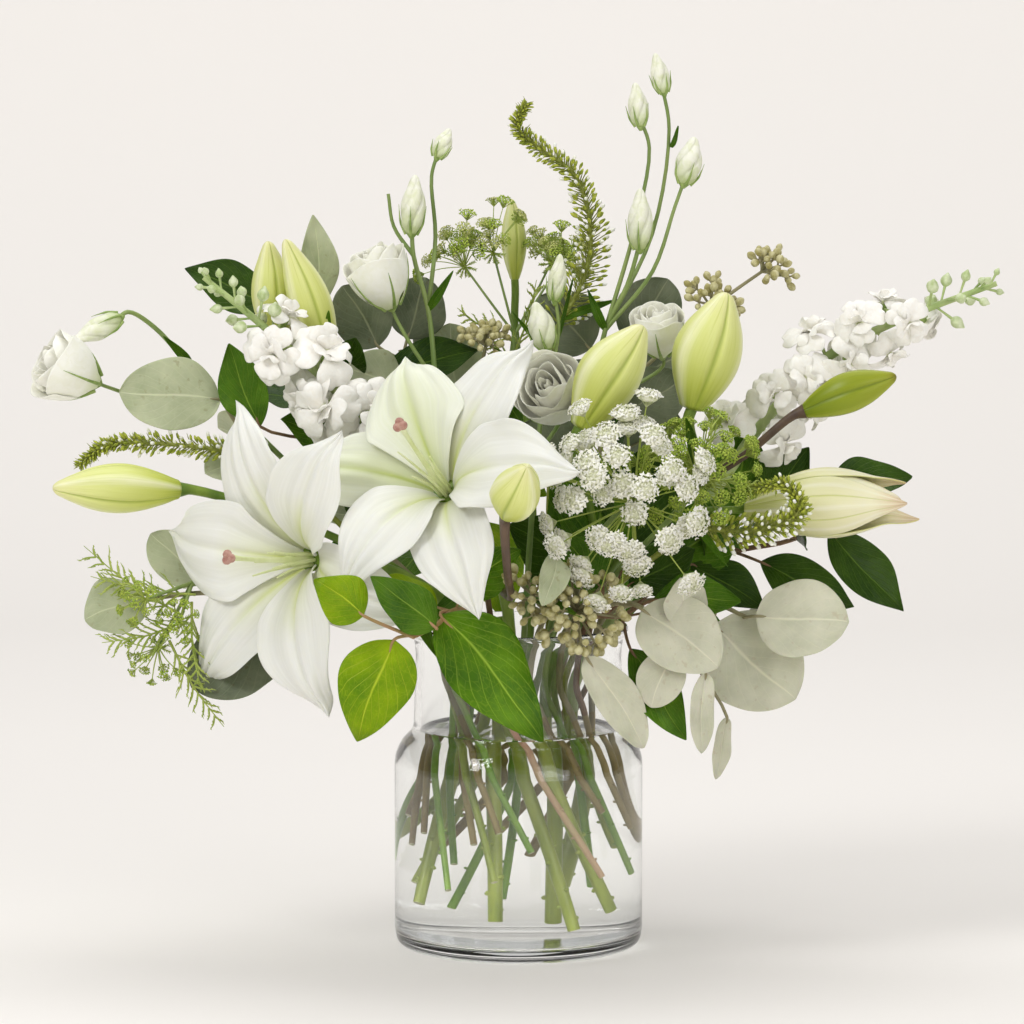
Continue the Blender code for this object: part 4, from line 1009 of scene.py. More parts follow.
def lily_stems():
    swell = (3.2, 3.2, 3.2, 3.2, 3.3, 3.6, 4.6, 7.2)
    for side, flower in (("left", LILY_LEFT), ("centre", LILY_CENTRE)):
        last = [flower.heart - flower.facing * back for back in (26, 12, 5, -1)]
        path = stem_path("lily_" + side, *last)
        if side == "left":
            branch = (STEMS["lily_left"][1], (-50, -6, 198), (-120, -8, 236), *under("lily_bud_far_left"))
            leaves = [
                ((-46, -18, 198), (-96, -22, 190), (-0.2, -0.6, 0.8), 13),
                ((-122, -8, 237), (-176, -28, 216), (-0.2, -0.8, 0.5), 13),
                ((-60, -24, 206), (-44, -60, 168), (-0.5, -0.8, 0.3), 12),
            ]
        else:
            branch = (STEMS["lily_centre"][2], (-4, -80, 204), (-6, -124, 222), *under("lily_bud_front"))
            leaves = [
                ((-6, -72, 203), (34, -110, 196), (0.2, -0.5, 0.9), 12),
                ((-12, -40, 212), (-52, -62, 186), (-0.2, -0.8, 0.5), 13),
            ]
        # The centre stem's front branch takes the dark brown skin as painted shade.
        made = lily_stem(
            f"lily_{side}_stem", path, [branch], swell, leaves=leaves,
            flushed=0 if side == "centre" else None
        )
        place_piece(made, "green_stem", "lily_stem_" + side)
    knots = STEMS["lily_right"]
    branches = (
        (knots[2], (38, -36, 252), *under("lily_bud_tall_left")),
        (knots[4], (122, -42, 276), *under("lily_bud_green")),
        (knots[3], *under("lily_bud_opening")),
    )
    leaves = [
        (knots[3], (122, -52, 226), (0.1, -0.8, 0.5), 14),
        (knots[2], (20, -52, 250), (-0.3, -0.8, 0.4), 13),
        ((96, -30, 256), (90, -74, 300), (0.4, -0.9, 0.1), 12),
        ((60, -18, 222), (108, 10, 244), (0.1, 0.5, 0.8), 14),
    ]
    path = stem_path("lily_right", *under("lily_bud_tall_right"))
    made = lily_stem("lily_right_stem", path, branches, 3.2, leaves=leaves, flushed=1)
    place_piece(made, "green_stem", "lily_stem_right")
    leaves = [
        ((-96, 24, 288), (-140, 46, 318), (-0.3, 0.4, 0.9), 13),
        ((-66, 26, 240), (-108, 4, 262), (-0.3, -0.8, 0.5), 14),
        ((-114, 22, 308), (-104, 2, 352), (0.4, -0.9, 0.1), 12),
        ((-78, 25, 260), (-54, 52, 288), (0.5, 0.5, 0.7), 13),
    ]
    made = lily_stem(
        "lily_upper_stem", stem_path("lily_upper", *under("lily_bud_upper_left")),
        [(STEMS["lily_upper"][-1], *under("lily_bud_upper_right"))], 3.2, leaves=leaves,
    )
    place_piece(made, "green_stem", "lily_stem_upper")
    leaves = [
        ((6, 74, 276), (-22, 88, 316), (-0.3, 0.7, 0.5), 12),
        ((7, 66, 250), (38, 88, 290), (0.3, 0.7, 0.5), 12),
        ((8, 56, 220), (-18, 84, 244), (-0.2, 0.6, 0.8), 13),
    ]
    made = lily_stem(
        "lily_back_stem", stem_path("lily_back", *under("lily_bud_back")), [], 2.2, leaves=leaves
    )
    place_piece(made, "green_stem", "lily_stem_back")


# ------------------------------------------------------------------ lisianthus


def sepals(name, base, tip, radii, count=5, long=0.55, spin=0.0, thin=1.0):
    """Narrow pointed sepals that hug a bud or a bloom; radii are its own, from base to tip."""
    base, tip = Vector(base), Vector(tip)
    ahead, side, _ = axes(base, tip)
    runs = [([base - ahead * 2.5, base, base + ahead * 2.5], (1.2 * thin, radii[0] * 0.9, radii[0] * 0.8))]
    for i in range(count):
        spoke = Quaternion(ahead, spin + 2 * math.pi * i / count) @ side
        points = []
        for k in range(6):
            share = long * k / 5
            points.append(
                base.lerp(tip, share) + spoke * (shaped(radii, share) * 1.02 + 0.2 + 1.2 * (k / 5) ** 3)
            )
        runs.append((flow(points, 3), (1.1 * thin, 1.0 * thin, 0.8 * thin, 0.55 * thin, 0.3 * thin, 0.1)))
    return stalks(name, CALYX_GREEN, runs, 2)


CUP = (0.26, 0.62, 0.86, 0.98, 1.0, 0.9)


def bloom(name, base, tip, radius, seed):
    """An opening lisianthus: thin overlapping petals in a spiral, their rims ruffled and the outer
    ones turning out."""
    base, tip = Vector(base), Vector(tip)
    ahead = (tip - base).normalized()
    side = ahead.orthogonal().normalized()
    other = ahead.cross(side)
    tall = (tip - base).length
    whorls = (
        (3, 1.0, 0.90, 0.20, 2.6), (3, 0.80, 0.99, 0.10, 2.5), (3, 0.56, 1.03, 0.02, 2.5),
        (2, 0.34, 1.03, -0.02, 3.4), (2, 0.15, 0.99, -0.02, 3.8),
    )
    parts = []
    for ring, (count, out, rise, flare, span) in enumerate(whorls):
        for i in range(count):
            middle = 2 * math.pi * i / count + ring * 1.3 + seed
            phase = seed * 3 + ring + i * 2.2

            def place(u, v, middle=middle, phase=phase, out=out, rise=rise, flare=flare, span=span):
                t = 2 * u - 1
                turn = middle + t * span / 2 * (0.45 + 0.55 * smooth_step(0, 0.5, v))
                high = (
                    tall * rise * v * (1 - 0.20 * abs(t) ** 2.6 * v)
                    + 1.3 * math.sin(4.2 * t + phase) * v**5
                )
                radial = radius * out * shaped(CUP, v) + 0.9 * t * v
                radial += radius * flare * v**5 + 1.1 * math.sin(5 * t + phase * 1.7) * v**4 * (0.3 + out)
                radial += 0.5 * waver(3 * t, 3 * v, ring, seed)
                return base + ahead * high + (
                    side * math.cos(turn) + other * math.sin(turn)
                ) * max(0.6, radial)

            parts.append(thicken(grid(f"{name}_petal_{ring}_{i}", EUSTOMA_WHITE, 12, 10, place), 0.45, 1))
    parts.append(sepals(name + "_calyx", base, tip, [radius * c for c in CUP], 5, 0.75, seed))
    return gather(name + "_look", parts)


def small_bud(name, base, tip, radius, seed=0):
    """A closed lisianthus bud, its petals rolled round one another."""
    radii = [radius * share for share in (0.42, 0.80, 0.90, 0.88, 0.74, 0.48, 0.22)]
    body = shell(name, EUSTOMA_BUD, base, tip, radii, (0, 0, 0), 4, 0.05, 0.16, 0.0, 3.0, 44, 30, 0.07)
    return [body, sepals(name + "_calyx", base, tip, radii, 5, 0.5, seed, 0.75)]


def spray(side, path, branches, buds, leaves=()):
    name = f"lisianthus_{side}"
    parts = main_stem(name, path, FINE_STEM, (1.8, 1.7, 1.4, 1.2), 4)
    for i, branch in enumerate(branches):
        parts.append(stalks(f"{name}_branch_{i}", FINE_STEM, [(flow(branch, 5), (1.3, 1.15, 1.0, 1.0))], 2))
    for i, bud in enumerate(buds):
        parts += small_bud(f"{name}_bud_{i}", *bud, seed=i)
    for i, leaf in enumerate(leaves):
        parts.append(lance_leaf(f"{name}_leaf_{i}", *leaf, bend=1.5))
    place_piece(gather(name + "_look", parts), "lisianthus_stem", "lisianthus_spray_" + side)


def lisianthus():
    for i, (name, (base, tip, radius)) in enumerate(BLOOMS.items()):
        place_piece(bloom(name, base, tip, radius, 0.8 + i), "lisianthus_petal", name)
    spray(
        "left",
        stem_path("lisianthus_left", (-202, 38, 340), (-216, 30, 349), (-222, 27, 345)),
        [(STEMS["lisianthus_left"][-1], (-210, 28, 304), *under("lisianthus_bloom_left"))],
        [((-220, 28, 346), (-245, 19, 334), 7.0)],
        [(STEMS["lisianthus_left"][-1], (-196, 24, 336), (0.3, -0.9, 0.2), 6)],
    )
    spray(
        "upper",
        stem_path("lisianthus_upper", (-58, 32, 380), (-59, 30, 396)),
        [
            ((-50, 34, 350), (-46, 38, 390), (-48, 35, 424), (-44, 36, 438)),
            ((-46, 32, 310), (-60, 26, 332), *under("lisianthus_bloom_upper")),
            ((-58, 32, 380), (-69, 36, 396), (-72, 36, 414)),
        ],
        [((-59, 30, 392), (-57, 28, 425), 7.5), ((-45, 36, 434), (-38, 38, 450), 5.5)],
        [((-50, 34, 350), (-36, 30, 372), (0.2, -0.9, 0.2), 5)],
    )
    spray(
        "tall",
        stem_path("lisianthus_tall", (60, 26, 364), (67, 22, 388)),
        [
            ((48, 30, 339), (64, 31, 394), (72, 25, 440), (67, 22, 456)),
            ((48, 30, 339), (74, 36, 392), (83, 30, 450), (79, 27, 474)),
            ((48, 30, 339), (74, 24, 372), (86, 25, 407), (92, 25, 424)),
            ((42, 30, 300), (62, 22, 308), *under("lisianthus_bloom_right")),
        ],
        [
            ((67, 22, 384), (67, 20, 418), 7.5), ((67, 22, 452), (64, 21, 476), 6.0),
            ((80, 27, 470), (75, 25, 492), 5.5), ((91, 25, 420), (97, 25, 446), 8.0),
        ],
        [
            ((48, 30, 339), (38, 26, 362), (-0.2, -0.9, 0.2), 5),
            ((84, 30, 440), (88, 28, 452), (0.3, -0.9, 0.1), 3),
        ],
    )
    spray(
        "centre",
        stem_path("lisianthus_centre", (16, 12, 334)),
        [((14, 16, 306), (22, 20, 338), (20, 18, 360)), ((10, 12, 270), *under("lisianthus_bloom_centre"))],
        [((16, 12, 330), (9, 10, 356), 8.0), ((20, 18, 356), (23, 17, 382), 5.5)],
        [((12, 14, 292), (-8, 2, 312), (-0.2, -0.9, 0.3), 6)],
    )


# ------------------------------------------------------------------ stocks


def floret(name, seed):
    """A double stock floret about 26 mm wide, standing on the origin along +Z."""
    rng = random.Random(seed)
    parts = []
    whorls = ((4, 84, 16.0, 17.5, 0.0), (3, 52, 13.0, 14.5, 2.0), (2, 20, 9.5, 11.0, 3.6))
    for ring, (count, lean, long, wide, rise) in enumerate(whorls):
        for i in range(count):
            turn = 2 * math.pi * (i + 0.5 * ring) / count + rng.uniform(-0.3, 0.3)
            tilt = math.radians(lean + rng.uniform(-20, 14))
            grow = rng.uniform(0.84, 1.1)
            phase = rng.uniform(0, 6)
            out = Vector((math.cos(turn), math.sin(turn), 0))
            across = UP.cross(out)

            def place(
                u, v, tilt=tilt, grow=grow, phase=phase, out=out, across=across, long=long, wide=wide,
                rise=rise
            ):
                t = 2 * u - 1
                half = wide / 2 * grow * (
                    0.13 + 0.87 * smooth_step(0.1, 0.75, v) * (1 - 0.35 * smooth_step(0.8, 1.0, v))
                )
                reach = long * grow * v * (1 - 0.14 * t**4 * v - 0.10 * math.exp(-((t / 0.16) ** 2)) * v)
                reach += 0.8 * waver(t * 3, v, phase) * v * v
                bend = tilt * (0.35 + 0.8 * v)
                lift = (
                    2.4 * waver(t * 1.2, v * 1.8, phase) * v
                    + 1.1 * math.sin(3.4 * t + phase) * v**2
                    - 1.6 * t * t * v
                )
                way = out * math.sin(bend) + UP * math.cos(bend)
                normal = UP * math.sin(bend) - out * math.cos(bend)
                return UP * rise * 0.4 + way * reach + across * (half * t) + normal * lift

            parts.append(thicken(grid(f"{name}_{ring}_{i}", STOCK_WHITE, 8, 8, place), 0.3, 1))
    parts.append(
        stalks(name + "_calyx", CALYX_GREEN, [([(0, 0, -7), (0, 0, -3), (0, 0, 0.8)], (1.1, 1.9, 1.7))], 2)
    )
    return gather(name, parts)


def stock(side, spike, wet_path, florets, first, last, buds, seed, bloom=14.5):
    """A stock: double florets set spirally along the spike, then buds that shrink to its tip."""
    name = "stock_" + side
    rng = random.Random(seed)
    parts = main_stem(name, wet_path, PALE_STEM, (3.4, 3.4, 3.0, 1.5), 6)
    masters = [floret(f"{name}_master_{k}", seed + k) for k in range(3)]
    path = flow(spike, 12)
    runs = []
    for i in range(florets):
        at = first + (last - first) * i / (florets - 1)
        point, ahead = along(path, at)
        radius = 17.0 - 3.0 * i / florets
        spoke = Quaternion(ahead, GOLDEN * i + seed) @ ahead.orthogonal().normalized()
        face = (spoke + ahead * 0.2 + Vector((0, -0.6, 0.1))).normalized()
        centre = point + spoke * (radius * rng.uniform(0.85, 1.15)) + ahead * 2
        runs.append(([point, point.lerp(centre, 0.5) + ahead * 1.5, centre - face * 5], (1.1, 0.9, 1.0)))
        size = radius / bloom * rng.uniform(0.86, 1.1)
        parts.append(copy_of(masters[i % 3], stood(centre - face * 3, face, rng.uniform(0, 6), size)))
    drop(*masters)
    bud = shell(
        name + "_bud", STOCK_BUD, (0, 0, 2.5), (0, 0, 12), [1.3, 3.0, 3.5, 3.1, 1.7, 0.5], lobes=4,
        lobed=0.05, groove=0.04, around=16, rows=12
    )
    placed = []
    for i in range(buds):
        at = last + (0.99 - last) * (i + 0.6) / buds
        point, ahead = along(path, at)
        spoke = Quaternion(ahead, GOLDEN * i * 1.0 + seed * 2) @ ahead.orthogonal().normalized()
        small = 1.05 - 0.62 * i / buds
        face = (spoke + ahead * (0.35 + 0.9 * i / buds) + UP * 0.15).normalized()
        reach = 7.5 * small + 2
        runs.append(([point, point + face * reach * 0.5, point + face * (reach + 3)], (0.8, 0.6, 0.9)))
        placed.append(stood(point + face * reach, face, i, small))
    parts.append(scatter(name + "_buds", bud, placed))
    parts.append(stalks(name + "_pedicels", PALE_STEM, runs, 2))
    place_piece(gather(name + "_look", parts), "stock_floret", name)


def stocks():
    left = ((-72, -12, 270), (-95, -20, 305), (-134, -14, 340), (-172, -10, 371))
    right = ((68, 0, 205), (106, 2, 250), (136, 4, 292), (171, 5, 327), (210, 3, 347), (262, 0, 367))
    stock("left", left, stem_path("stock_left", *left[1:]), 11, 0.04, 0.66, 15, 4, 12.6)
    stock("right", right, stem_path("stock_right", *right[2:]), 15, 0.34, 0.84, 12, 9)


# ------------------------------------------------------------------ laces and berries


def lace_floret(name, material, size):
    """One tiny five-petalled floret, standing on the origin along +Z."""
    deselect()
    bpy.ops.mesh.primitive_circle_add(vertices=10, radius=1.0, fill_type="TRIFAN")
    obj = bpy.context.object
    obj.name = name
    for vert in obj.data.vertices:
        spoke = Vector(vert.co)
        if spoke.length > 0.5:
            turn = round(math.atan2(spoke.y, spoke.x) / (math.pi / 5))
            vert.co = spoke * (size * (1.0 if turn % 2 else 0.52)) * MM
            vert.co.z = (0.45 if turn % 2 else 0.1) * size * MM
        else:
            vert.co = (0, 0, -0.15 * size * MM)
    paint(obj, material)
    return thicken(obj, 0.28)


def umbellet(name, material, radius, count, size, ray, seed, tall=0.55, heart=None):
    """A small head of florets on thread-like pedicels, standing on the origin along +Z. The florets
    of its middle and the cushion of buds under them take the heart's material."""
    rng = random.Random(seed)
    placed, middle, runs = [], [], []
    for direction in spread(UP, count, 74, seed):
        reach = radius * rng.uniform(0.84, 1.12)
        rise = direction.z * reach * tall + radius * (1 - tall) * 0.4
        spot = Vector((direction.x * reach, direction.y * reach, rise))
        face = (
            direction + UP * 0.5 + Vector((rng.uniform(-0.3, 0.3), rng.uniform(-0.3, 0.3), 0))
        ).normalized()
        inside = heart and direction.z > 0.9
        (middle if inside else placed).append(
            stood(spot, face, rng.uniform(0, 6), rng.uniform(0.8, 1.15) * (0.8 if inside else 1.0))
        )
        runs.append(([(0, 0, -radius * 0.55), spot * 0.97], 0.16))
    parts = [scatter(name + "_florets", lace_floret(name + "_floret", material, size), placed)]
    if middle:
        parts.append(scatter(name + "_middle", lace_floret(name + "_inner_floret", heart, size), middle))
    if heart:
        parts.append(
            blob(
                name + "_cushion", heart, (0, 0, radius * 0.18),
                (radius * 0.78, radius * 0.78, radius * 0.36)
            )
        )
    return gather(name, [*parts, stalks(name + "_threads", ray, runs, 0)])


def umbel(name, hub, axis, ray, cap, count, masters, ray_skin, seed, thick=0.45, bract=0.0, loose=0.1):
    """An umbel: rays from the hub, each ending in a small head. Bracts are forked green threads
    below it."""
    rng = random.Random(seed)
    hub = Vector(hub)
    parts, runs = [], []
    for i, direction in enumerate(spread(axis, count, cap, seed)):
        long = ray * rng.uniform(1.02 - 2 * loose, 1.0 + 0.6 * loose)
        swing = Vector([rng.uniform(-loose, loose) for _ in range(3)])
        end = hub + (direction + swing).normalized() * long
        middle = hub.lerp(end, 0.5) + Vector(axis) * (long * 0.05)
        runs.append((flow((hub, middle, end), 4), (thick * 1.2, thick, thick * 0.8)))
        parts.append(
            copy_of(
                masters[i % len(masters)],
                stood(end, end - middle, rng.uniform(0, 6), rng.uniform(0.82, 1.12))
            )
        )
    if bract:
        for direction in spread(-Vector(axis), 9, 96, seed):
            end = hub + direction * bract
            side = direction.orthogonal().normalized()
            runs.append(([hub, end], (0.5, 0.2)))
            for share in (0.4, 0.6, 0.8):
                spot = hub.lerp(end, share)
                for way in (1, -1):
                    runs.append(
                        ([spot, spot + (direction * 0.8 + side * way * 0.6) * bract * 0.28], (0.35, 0.12))
                    )
    parts.append(stalks(name + "_rays", ray_skin, runs, 1))
    return parts


def feathered(name, base, tip, long, pairs, seed):
    """A feathery leaf: threads that fork to both sides of a fine midrib."""
    rng = random.Random(seed)
    base, tip = Vector(base), Vector(tip)
    ahead = (tip - base).normalized()
    side = ahead.orthogonal().normalized()
    runs = [(flow((base, base.lerp(tip, 0.5) + side * 3, tip), 4), (0.8, 0.5, 0.2))]
    for i in range(pairs):
        share = 0.15 + 0.8 * i / pairs
        spot = base.lerp(tip, share) + side * (12 * share * (1 - share))
        for way in (1, -1):
            out = (Quaternion(ahead, rng.uniform(-0.7, 0.7)) @ side) * way
            reach = long * (1 - 0.6 * share) * rng.uniform(0.8, 1.15)
            end = spot + (ahead * 0.7 + out * 0.8) * reach
            runs.append((flow((spot, spot.lerp(end, 0.5) + ahead * 1.0, end), 3), (0.6, 0.5, 0.15)))
            for part in (0.35, 0.6, 0.85):
                fork = spot.lerp(end, part)
                twig = (
                    ahead * rng.uniform(0.5, 1.0) + out * rng.uniform(0.1, 0.8) + UP * rng.uniform(-0.4, 0.4)
                ) * reach * 0.32
                runs.append(([fork, fork + twig], (0.45, 0.12)))
    return stalks(name, LACE_RAY, runs, 1)


def laces():
    white = [
        umbellet(f"lace_white_head_{k}", LACE_FLORET, 7.6, 58, 1.4, LACE_THREAD, k, heart=LACE_CREAM)
        for k in range(3)
    ]
    parts = main_stem("lace_white", stem_path("lace_white", (65, -74, 254)), FINE_STEM, 1.8, 4)
    parts += umbel(
        "lace_white", (62, -74, 254), (-0.26, -0.9, 0.17), 60, 66, 50, white, LACE_RAY, 3, 0.42, 14, 0.17
    )
    drop(*white)
    place_piece(gather("lace_white_look", parts), "lace_white", "lace_white")

    green = [
        umbellet(f"lace_green_head_{k}", LACE_GREEN, 4.8, 34, 1.05, LACE_RAY, k + 5, 0.8)
        for k in range(2)
    ]
    parts = main_stem("lace_green", stem_path("lace_green", (97, -58, 262)), FINE_STEM, 1.8, 4)
    parts += umbel(
        "lace_green", (97, -58, 262), (-0.1, -0.75, 0.65), 37, 74, 46, green, LACE_RAY, 8, 0.45, 20
    )
    for i, tip in enumerate(((70, -96, 288), (104, -86, 300), (128, -86, 262), (62, -88, 300))):
        parts.append(feathered(f"lace_green_feather_{i}", (92, -66, 266), tip, 12, 7, 20 + i))
    drop(*green)
    place_piece(gather("lace_green_look", parts), "lace_green", "lace_green")

    tops = (
        ((-30, 60, 372), (-0.5, 0, 0.86), 26), ((-14, 56, 380), (-0.2, -0.3, 0.9), 26),
        ((18, 84, 372), (0.3, 0.5, 0.9), 18), ((22, 62, 372), (0.5, 0, 0.86), 20),
    )
    small = [
        umbellet(f"lace_top_head_{k}", LACE_GREEN if k else LACE_TAN, 4.6, 24, 0.95, LACE_RAY, k + 11, 0.5)
        for k in range(2)
    ]
    fork = (-2, 60, 334)
    parts = main_stem("lace_top", stem_path("lace_top", fork), FINE_STEM, 1.8, 3)
    for i, (hub, axis, ray) in enumerate(tops):
        bend = Vector(fork).lerp(Vector(hub), 0.5) + Vector((0, -3, 0))
        path = flow((fork, bend, hub), 4)
        parts.append(stalks(f"lace_top_branch_{i}", FINE_STEM, [(path, (0.8, 0.6))], 2))
        parts += umbel(f"lace_top_{i}", hub, axis, ray, 70, 17, small, LACE_RAY, 30 + i, 0.28, 7, 0.3)
    for i, (base, tip) in enumerate(
        (((-2, 60, 330), (-34, 46, 350)), ((-3, 60, 322), (10, 40, 366)), ((-3, 60, 320), (-22, 42, 338)))
    ):
        parts.append(feathered(f"lace_top_feather_{i}", base, tip, 14, 8, 40 + i))
    drop(*small)
    place_piece(gather("lace_top_look", parts), "lace_green", "lace_top")

    lefts = (
        ((-184, -52, 187), (-0.2, -0.9, 0.3), 12), ((-202, -60, 200), (-0.7, -0.6, -0.1), 14),
        ((-196, -46, 172), (-0.5, -0.3, -0.8), 18),
    )
    small = [umbellet("lace_left_head", LACE_GREEN, 3.0, 14, 0.95, LACE_RAY, 21, 0.6)]
    fork = (-178, -36, 206)
    parts = main_stem("lace_left", stem_path("lace_left", fork), FINE_STEM, 1.8, 3)
    for i, (hub, axis, ray) in enumerate(lefts):
        parts.append(stalks(f"lace_left_branch_{i}", FINE_STEM, [([fork, hub], (1.2, 0.8))], 2))
        parts += umbel(f"lace_left_{i}", hub, axis, ray, 72, 12, small, LACE_RAY, 50 + i, 0.35, 8)
    feathers = (
        ((-176, -40, 200), (-232, -56, 212)), ((-182, -46, 186), (-226, -58, 176)),
        ((-178, -40, 196), (-172, -64, 150)), ((-190, -48, 176), (-160, -58, 130)),
        ((-184, -46, 190), (-236, -50, 228))
    )
    for i, (base, tip) in enumerate(feathers):
        parts.append(feathered(f"lace_left_feather_{i}", base, tip, 17, 9, 60 + i))
    drop(*small)
    place_piece(gather("lace_left_look", parts), "lace_green", "lace_left")


def berries(name, joint, hub, axis, ray, count, cap=80, size=1.0, seed=1):
    """A spray of seeded gum: top-shaped fruits on branching stalks."""
    rng = random.Random(seed)
    joint, hub = Vector(joint), Vector(hub)
    fruit = shell(
        name + "_fruit", GUM_SEED, (0, 0, -1.2), (0, 0, 5.6), [0.8, 1.7, 2.3, 2.5, 2.0, 0.7], lobes=4,
        lobed=0.02, groove=0.02, around=12, rows=10
    )
    runs = [(flow((joint, joint.lerp(hub, 0.5) + Vector((1, -1, 1)), hub), 5), (1.2, 1.1, 1.0))]
    placed = []
    for i, direction in enumerate(spread(axis, max(4, count // 4), cap, seed)):
        knot = hub + direction * ray * rng.uniform(0.45, 0.95)
        runs.append((flow((hub, hub.lerp(knot, 0.5) + Vector(axis) * 0.8, knot), 3), (0.9, 0.7)))
        for twig in spread(direction, 4, 88, i):
            foot = knot + twig * rng.uniform(2.2, 4.6)
            runs.append(([knot, foot], (0.6, 0.5)))
            placed.append(
                stood(foot, twig + direction * 0.5, rng.uniform(0, 6), size * rng.uniform(0.82, 1.1))
            )
    return [stalks(name + "_stalks", GUM_STALK, runs, 1), scatter(name + "_fruits", fruit, placed)]


# ------------------------------------------------------------------ loosestrife


def loosestrife_spike(side, points, size, buds, open_share, loose, seed, leaves=()):
    """A curling spike packed with pointed buds, some of which show their white tips."""
    name = "loosestrife_" + side
    rng = random.Random(seed)
    parts = main_stem(name, stem_path(name, points[0]), SPIKE_STEM, (2.0, 1.8, 1.6, 1.5), 4)
    path = flow(points, 8)
    parts.append(stalks(name + "_spike", SPIKE_STEM, [(path, (1.5, 1.3, 1.1, 0.9, 0.7))], 2))
    closed = shell(
        name + "_bud", SPIKE_BUD, (0, 0, 0), (0, 0, 5.2), [0.4, 0.85, 1.05, 0.85, 0.35], lobes=5,
        lobed=0.04, groove=0.02, around=10, rows=8
    )
    opened = gather(name + "_open", [
        copy_of(closed, Matrix.Identity(4)),
        blob(name + "_tip", SPIKE_TIP, (0, 0, 4.6), (1.2, 1.2, 2.1), detail=1),
    ])
    shut, shown, runs = [], [], []
    for i in range(buds):
        at = 0.01 + 0.98 * ((i + 0.5) / buds) ** 0.9
        point, ahead = along(path, at)
        spoke = Quaternion(ahead, GOLDEN * i) @ ahead.orthogonal().normalized()
        face = (spoke + ahead * rng.uniform(0.35, 0.9)).normalized()
        small = size * (1.05 - 0.5 * at**1.3) * rng.uniform(0.75, 1.1)
        reach = (1.6 + 8.5 * loose * (1 - at) ** 1.7) * size * rng.uniform(0.6, 1.2)
        bend = point + face * reach * 0.5 - UP * 0.3
        runs.append(([point, bend, point + face * (reach + 0.6)], 0.32))
        needle = (
            face + ahead * rng.uniform(-0.3, 0.6)
        ).normalized() * rng.uniform(5.5, 9.0) * size * (1.1 - 0.4 * at)
        runs.append(
            (flow([point, point + needle * 0.5 + ahead * 0.4, point + needle], 3), (0.42, 0.36, 0.08))
        )
        matrix = stood(point + face * reach, face, rng.uniform(0, 6), small)
        (shown if rng.random() < open_share * (1.3 - 1.5 * at) else shut).append(matrix)
    parts.append(scatter(name + "_shut", closed, shut))
    if shown:
        parts.append(scatter(name + "_shown", opened, shown))
    else:
        drop(opened)
    parts.append(stalks(name + "_pedicels", SPIKE_STEM, runs, 0))
    for i, leaf in enumerate(leaves):
        parts.append(lance_leaf(f"{name}_leaf_{i}", *leaf, bend=1.0))
    place_piece(gather(name + "_look", parts), "loosestrife", name)


def loosestrife():
    top = (
        (21, 45, 338), (36, 45, 366), (40, 45, 394), (31, 45, 424), (10, 45, 440), (-1, 45, 452),
        (5, 45, 464)
    )
    left = ((-132, -2, 266), (-161, -5, 275), (-202, -10, 280), (-226, -12, 279), (-241, -15, 268))
    right = ((96, -72, 240), (128, -82, 240), (150, -87, 250), (144, -82, 264), (124, -80, 262))
    leaves = [
        ((20, 44, 320), (-4, 26, 350), (-0.3, -0.9, 0.2), 3),
        ((20, 45, 330), (30, 20, 368), (0.4, -0.9, 0.1), 3),
        ((24, 45, 344), (56, 34, 356), (0.1, -0.9, 0.4), 5),
        ((18, 44, 310), (-16, 30, 330), (-0.3, -0.9, 0.4), 4),
    ]
    loosestrife_spike("top", top, 1.0, 300, 0.5, 1.35, 71, leaves)
    leaves = [
        ((-132, -2, 262), (-160, -24, 280), (-0.1, -0.9, 0.4), 5),
        ((-128, 0, 260), (-150, -20, 246), (-0.1, -0.9, 0.4), 5),
    ]
    loosestrife_spike("left", left, 1.0, 220, 0.75, 0.7, 72, leaves)
    loosestrife_spike(
        "right", right, 1.05, 270, 0.6, 0.8, 73, [((96, -72, 240), (112, -96, 222), (0.1, -0.9, 0.4), 4)]
    )


# ------------------------------------------------------------------ foliage


def outline_at(kind, share):
    """Half width of a leaf blade, as a share of its fullest."""
    if kind == "round":
        wide = max(0.0, math.sin(math.pi * share**0.92)) ** 0.56
    elif kind == "oval":
        wide = max(0.0, math.sin(math.pi * share**0.70)) ** 0.86
    else:
        wide = max(0.0, math.sin(math.pi * share**0.86)) ** 0.95
    return wide


def leaf(name, material, base, tip, facing, width, kind, bend, cup, seed):
    """A leaf blade with a folded midrib, a wavy rim and quilting between its side veins. bend lifts
    its middle towards facing, and cup lifts its edges."""
    base, tip, facing = Vector(base), Vector(tip), Vector(facing)
    side, normal = blade_axes(base, tip, facing)
    long = (tip - base).length

    def place(u, v):
        t = 2 * u - 1
        wide = outline_at(kind, v)
        half = width / 2 * wide + 0.2
        half *= 1 + 0.05 * waver(v * 4, t * 0.3, 3 + (t > 0), seed)
        lift = bend * 4 * v * (1 - v) + cup * wide * t * t
        lift -= 0.9 * math.exp(-((t / 0.10) ** 2)) * math.sin(math.pi * min(1.0, v * 1.1))
        lift += 1.3 * abs(t) ** 3 * math.sin(11 * v + seed + (1.9 if t > 0 else 0))
        if kind != "round":
            lift += 0.35 * math.cos(
                2 * math.pi * 7 * (v - 0.3 * abs(t) ** 0.8)
            ) * math.sin(math.pi * abs(t)) * wide
            lift -= 3.5 * smooth_step(0.8, 1.0, v) ** 2 * (1 if cup < 0 else -0.4)
        sway = long * 0.035 * math.sin(2.6 * v + seed) * math.sin(math.pi * v)
        return base.lerp(tip, v) + side * (half * t + sway) + normal * lift

    return thicken(grid(name, material, 14, 22, place), 0.5, 1)


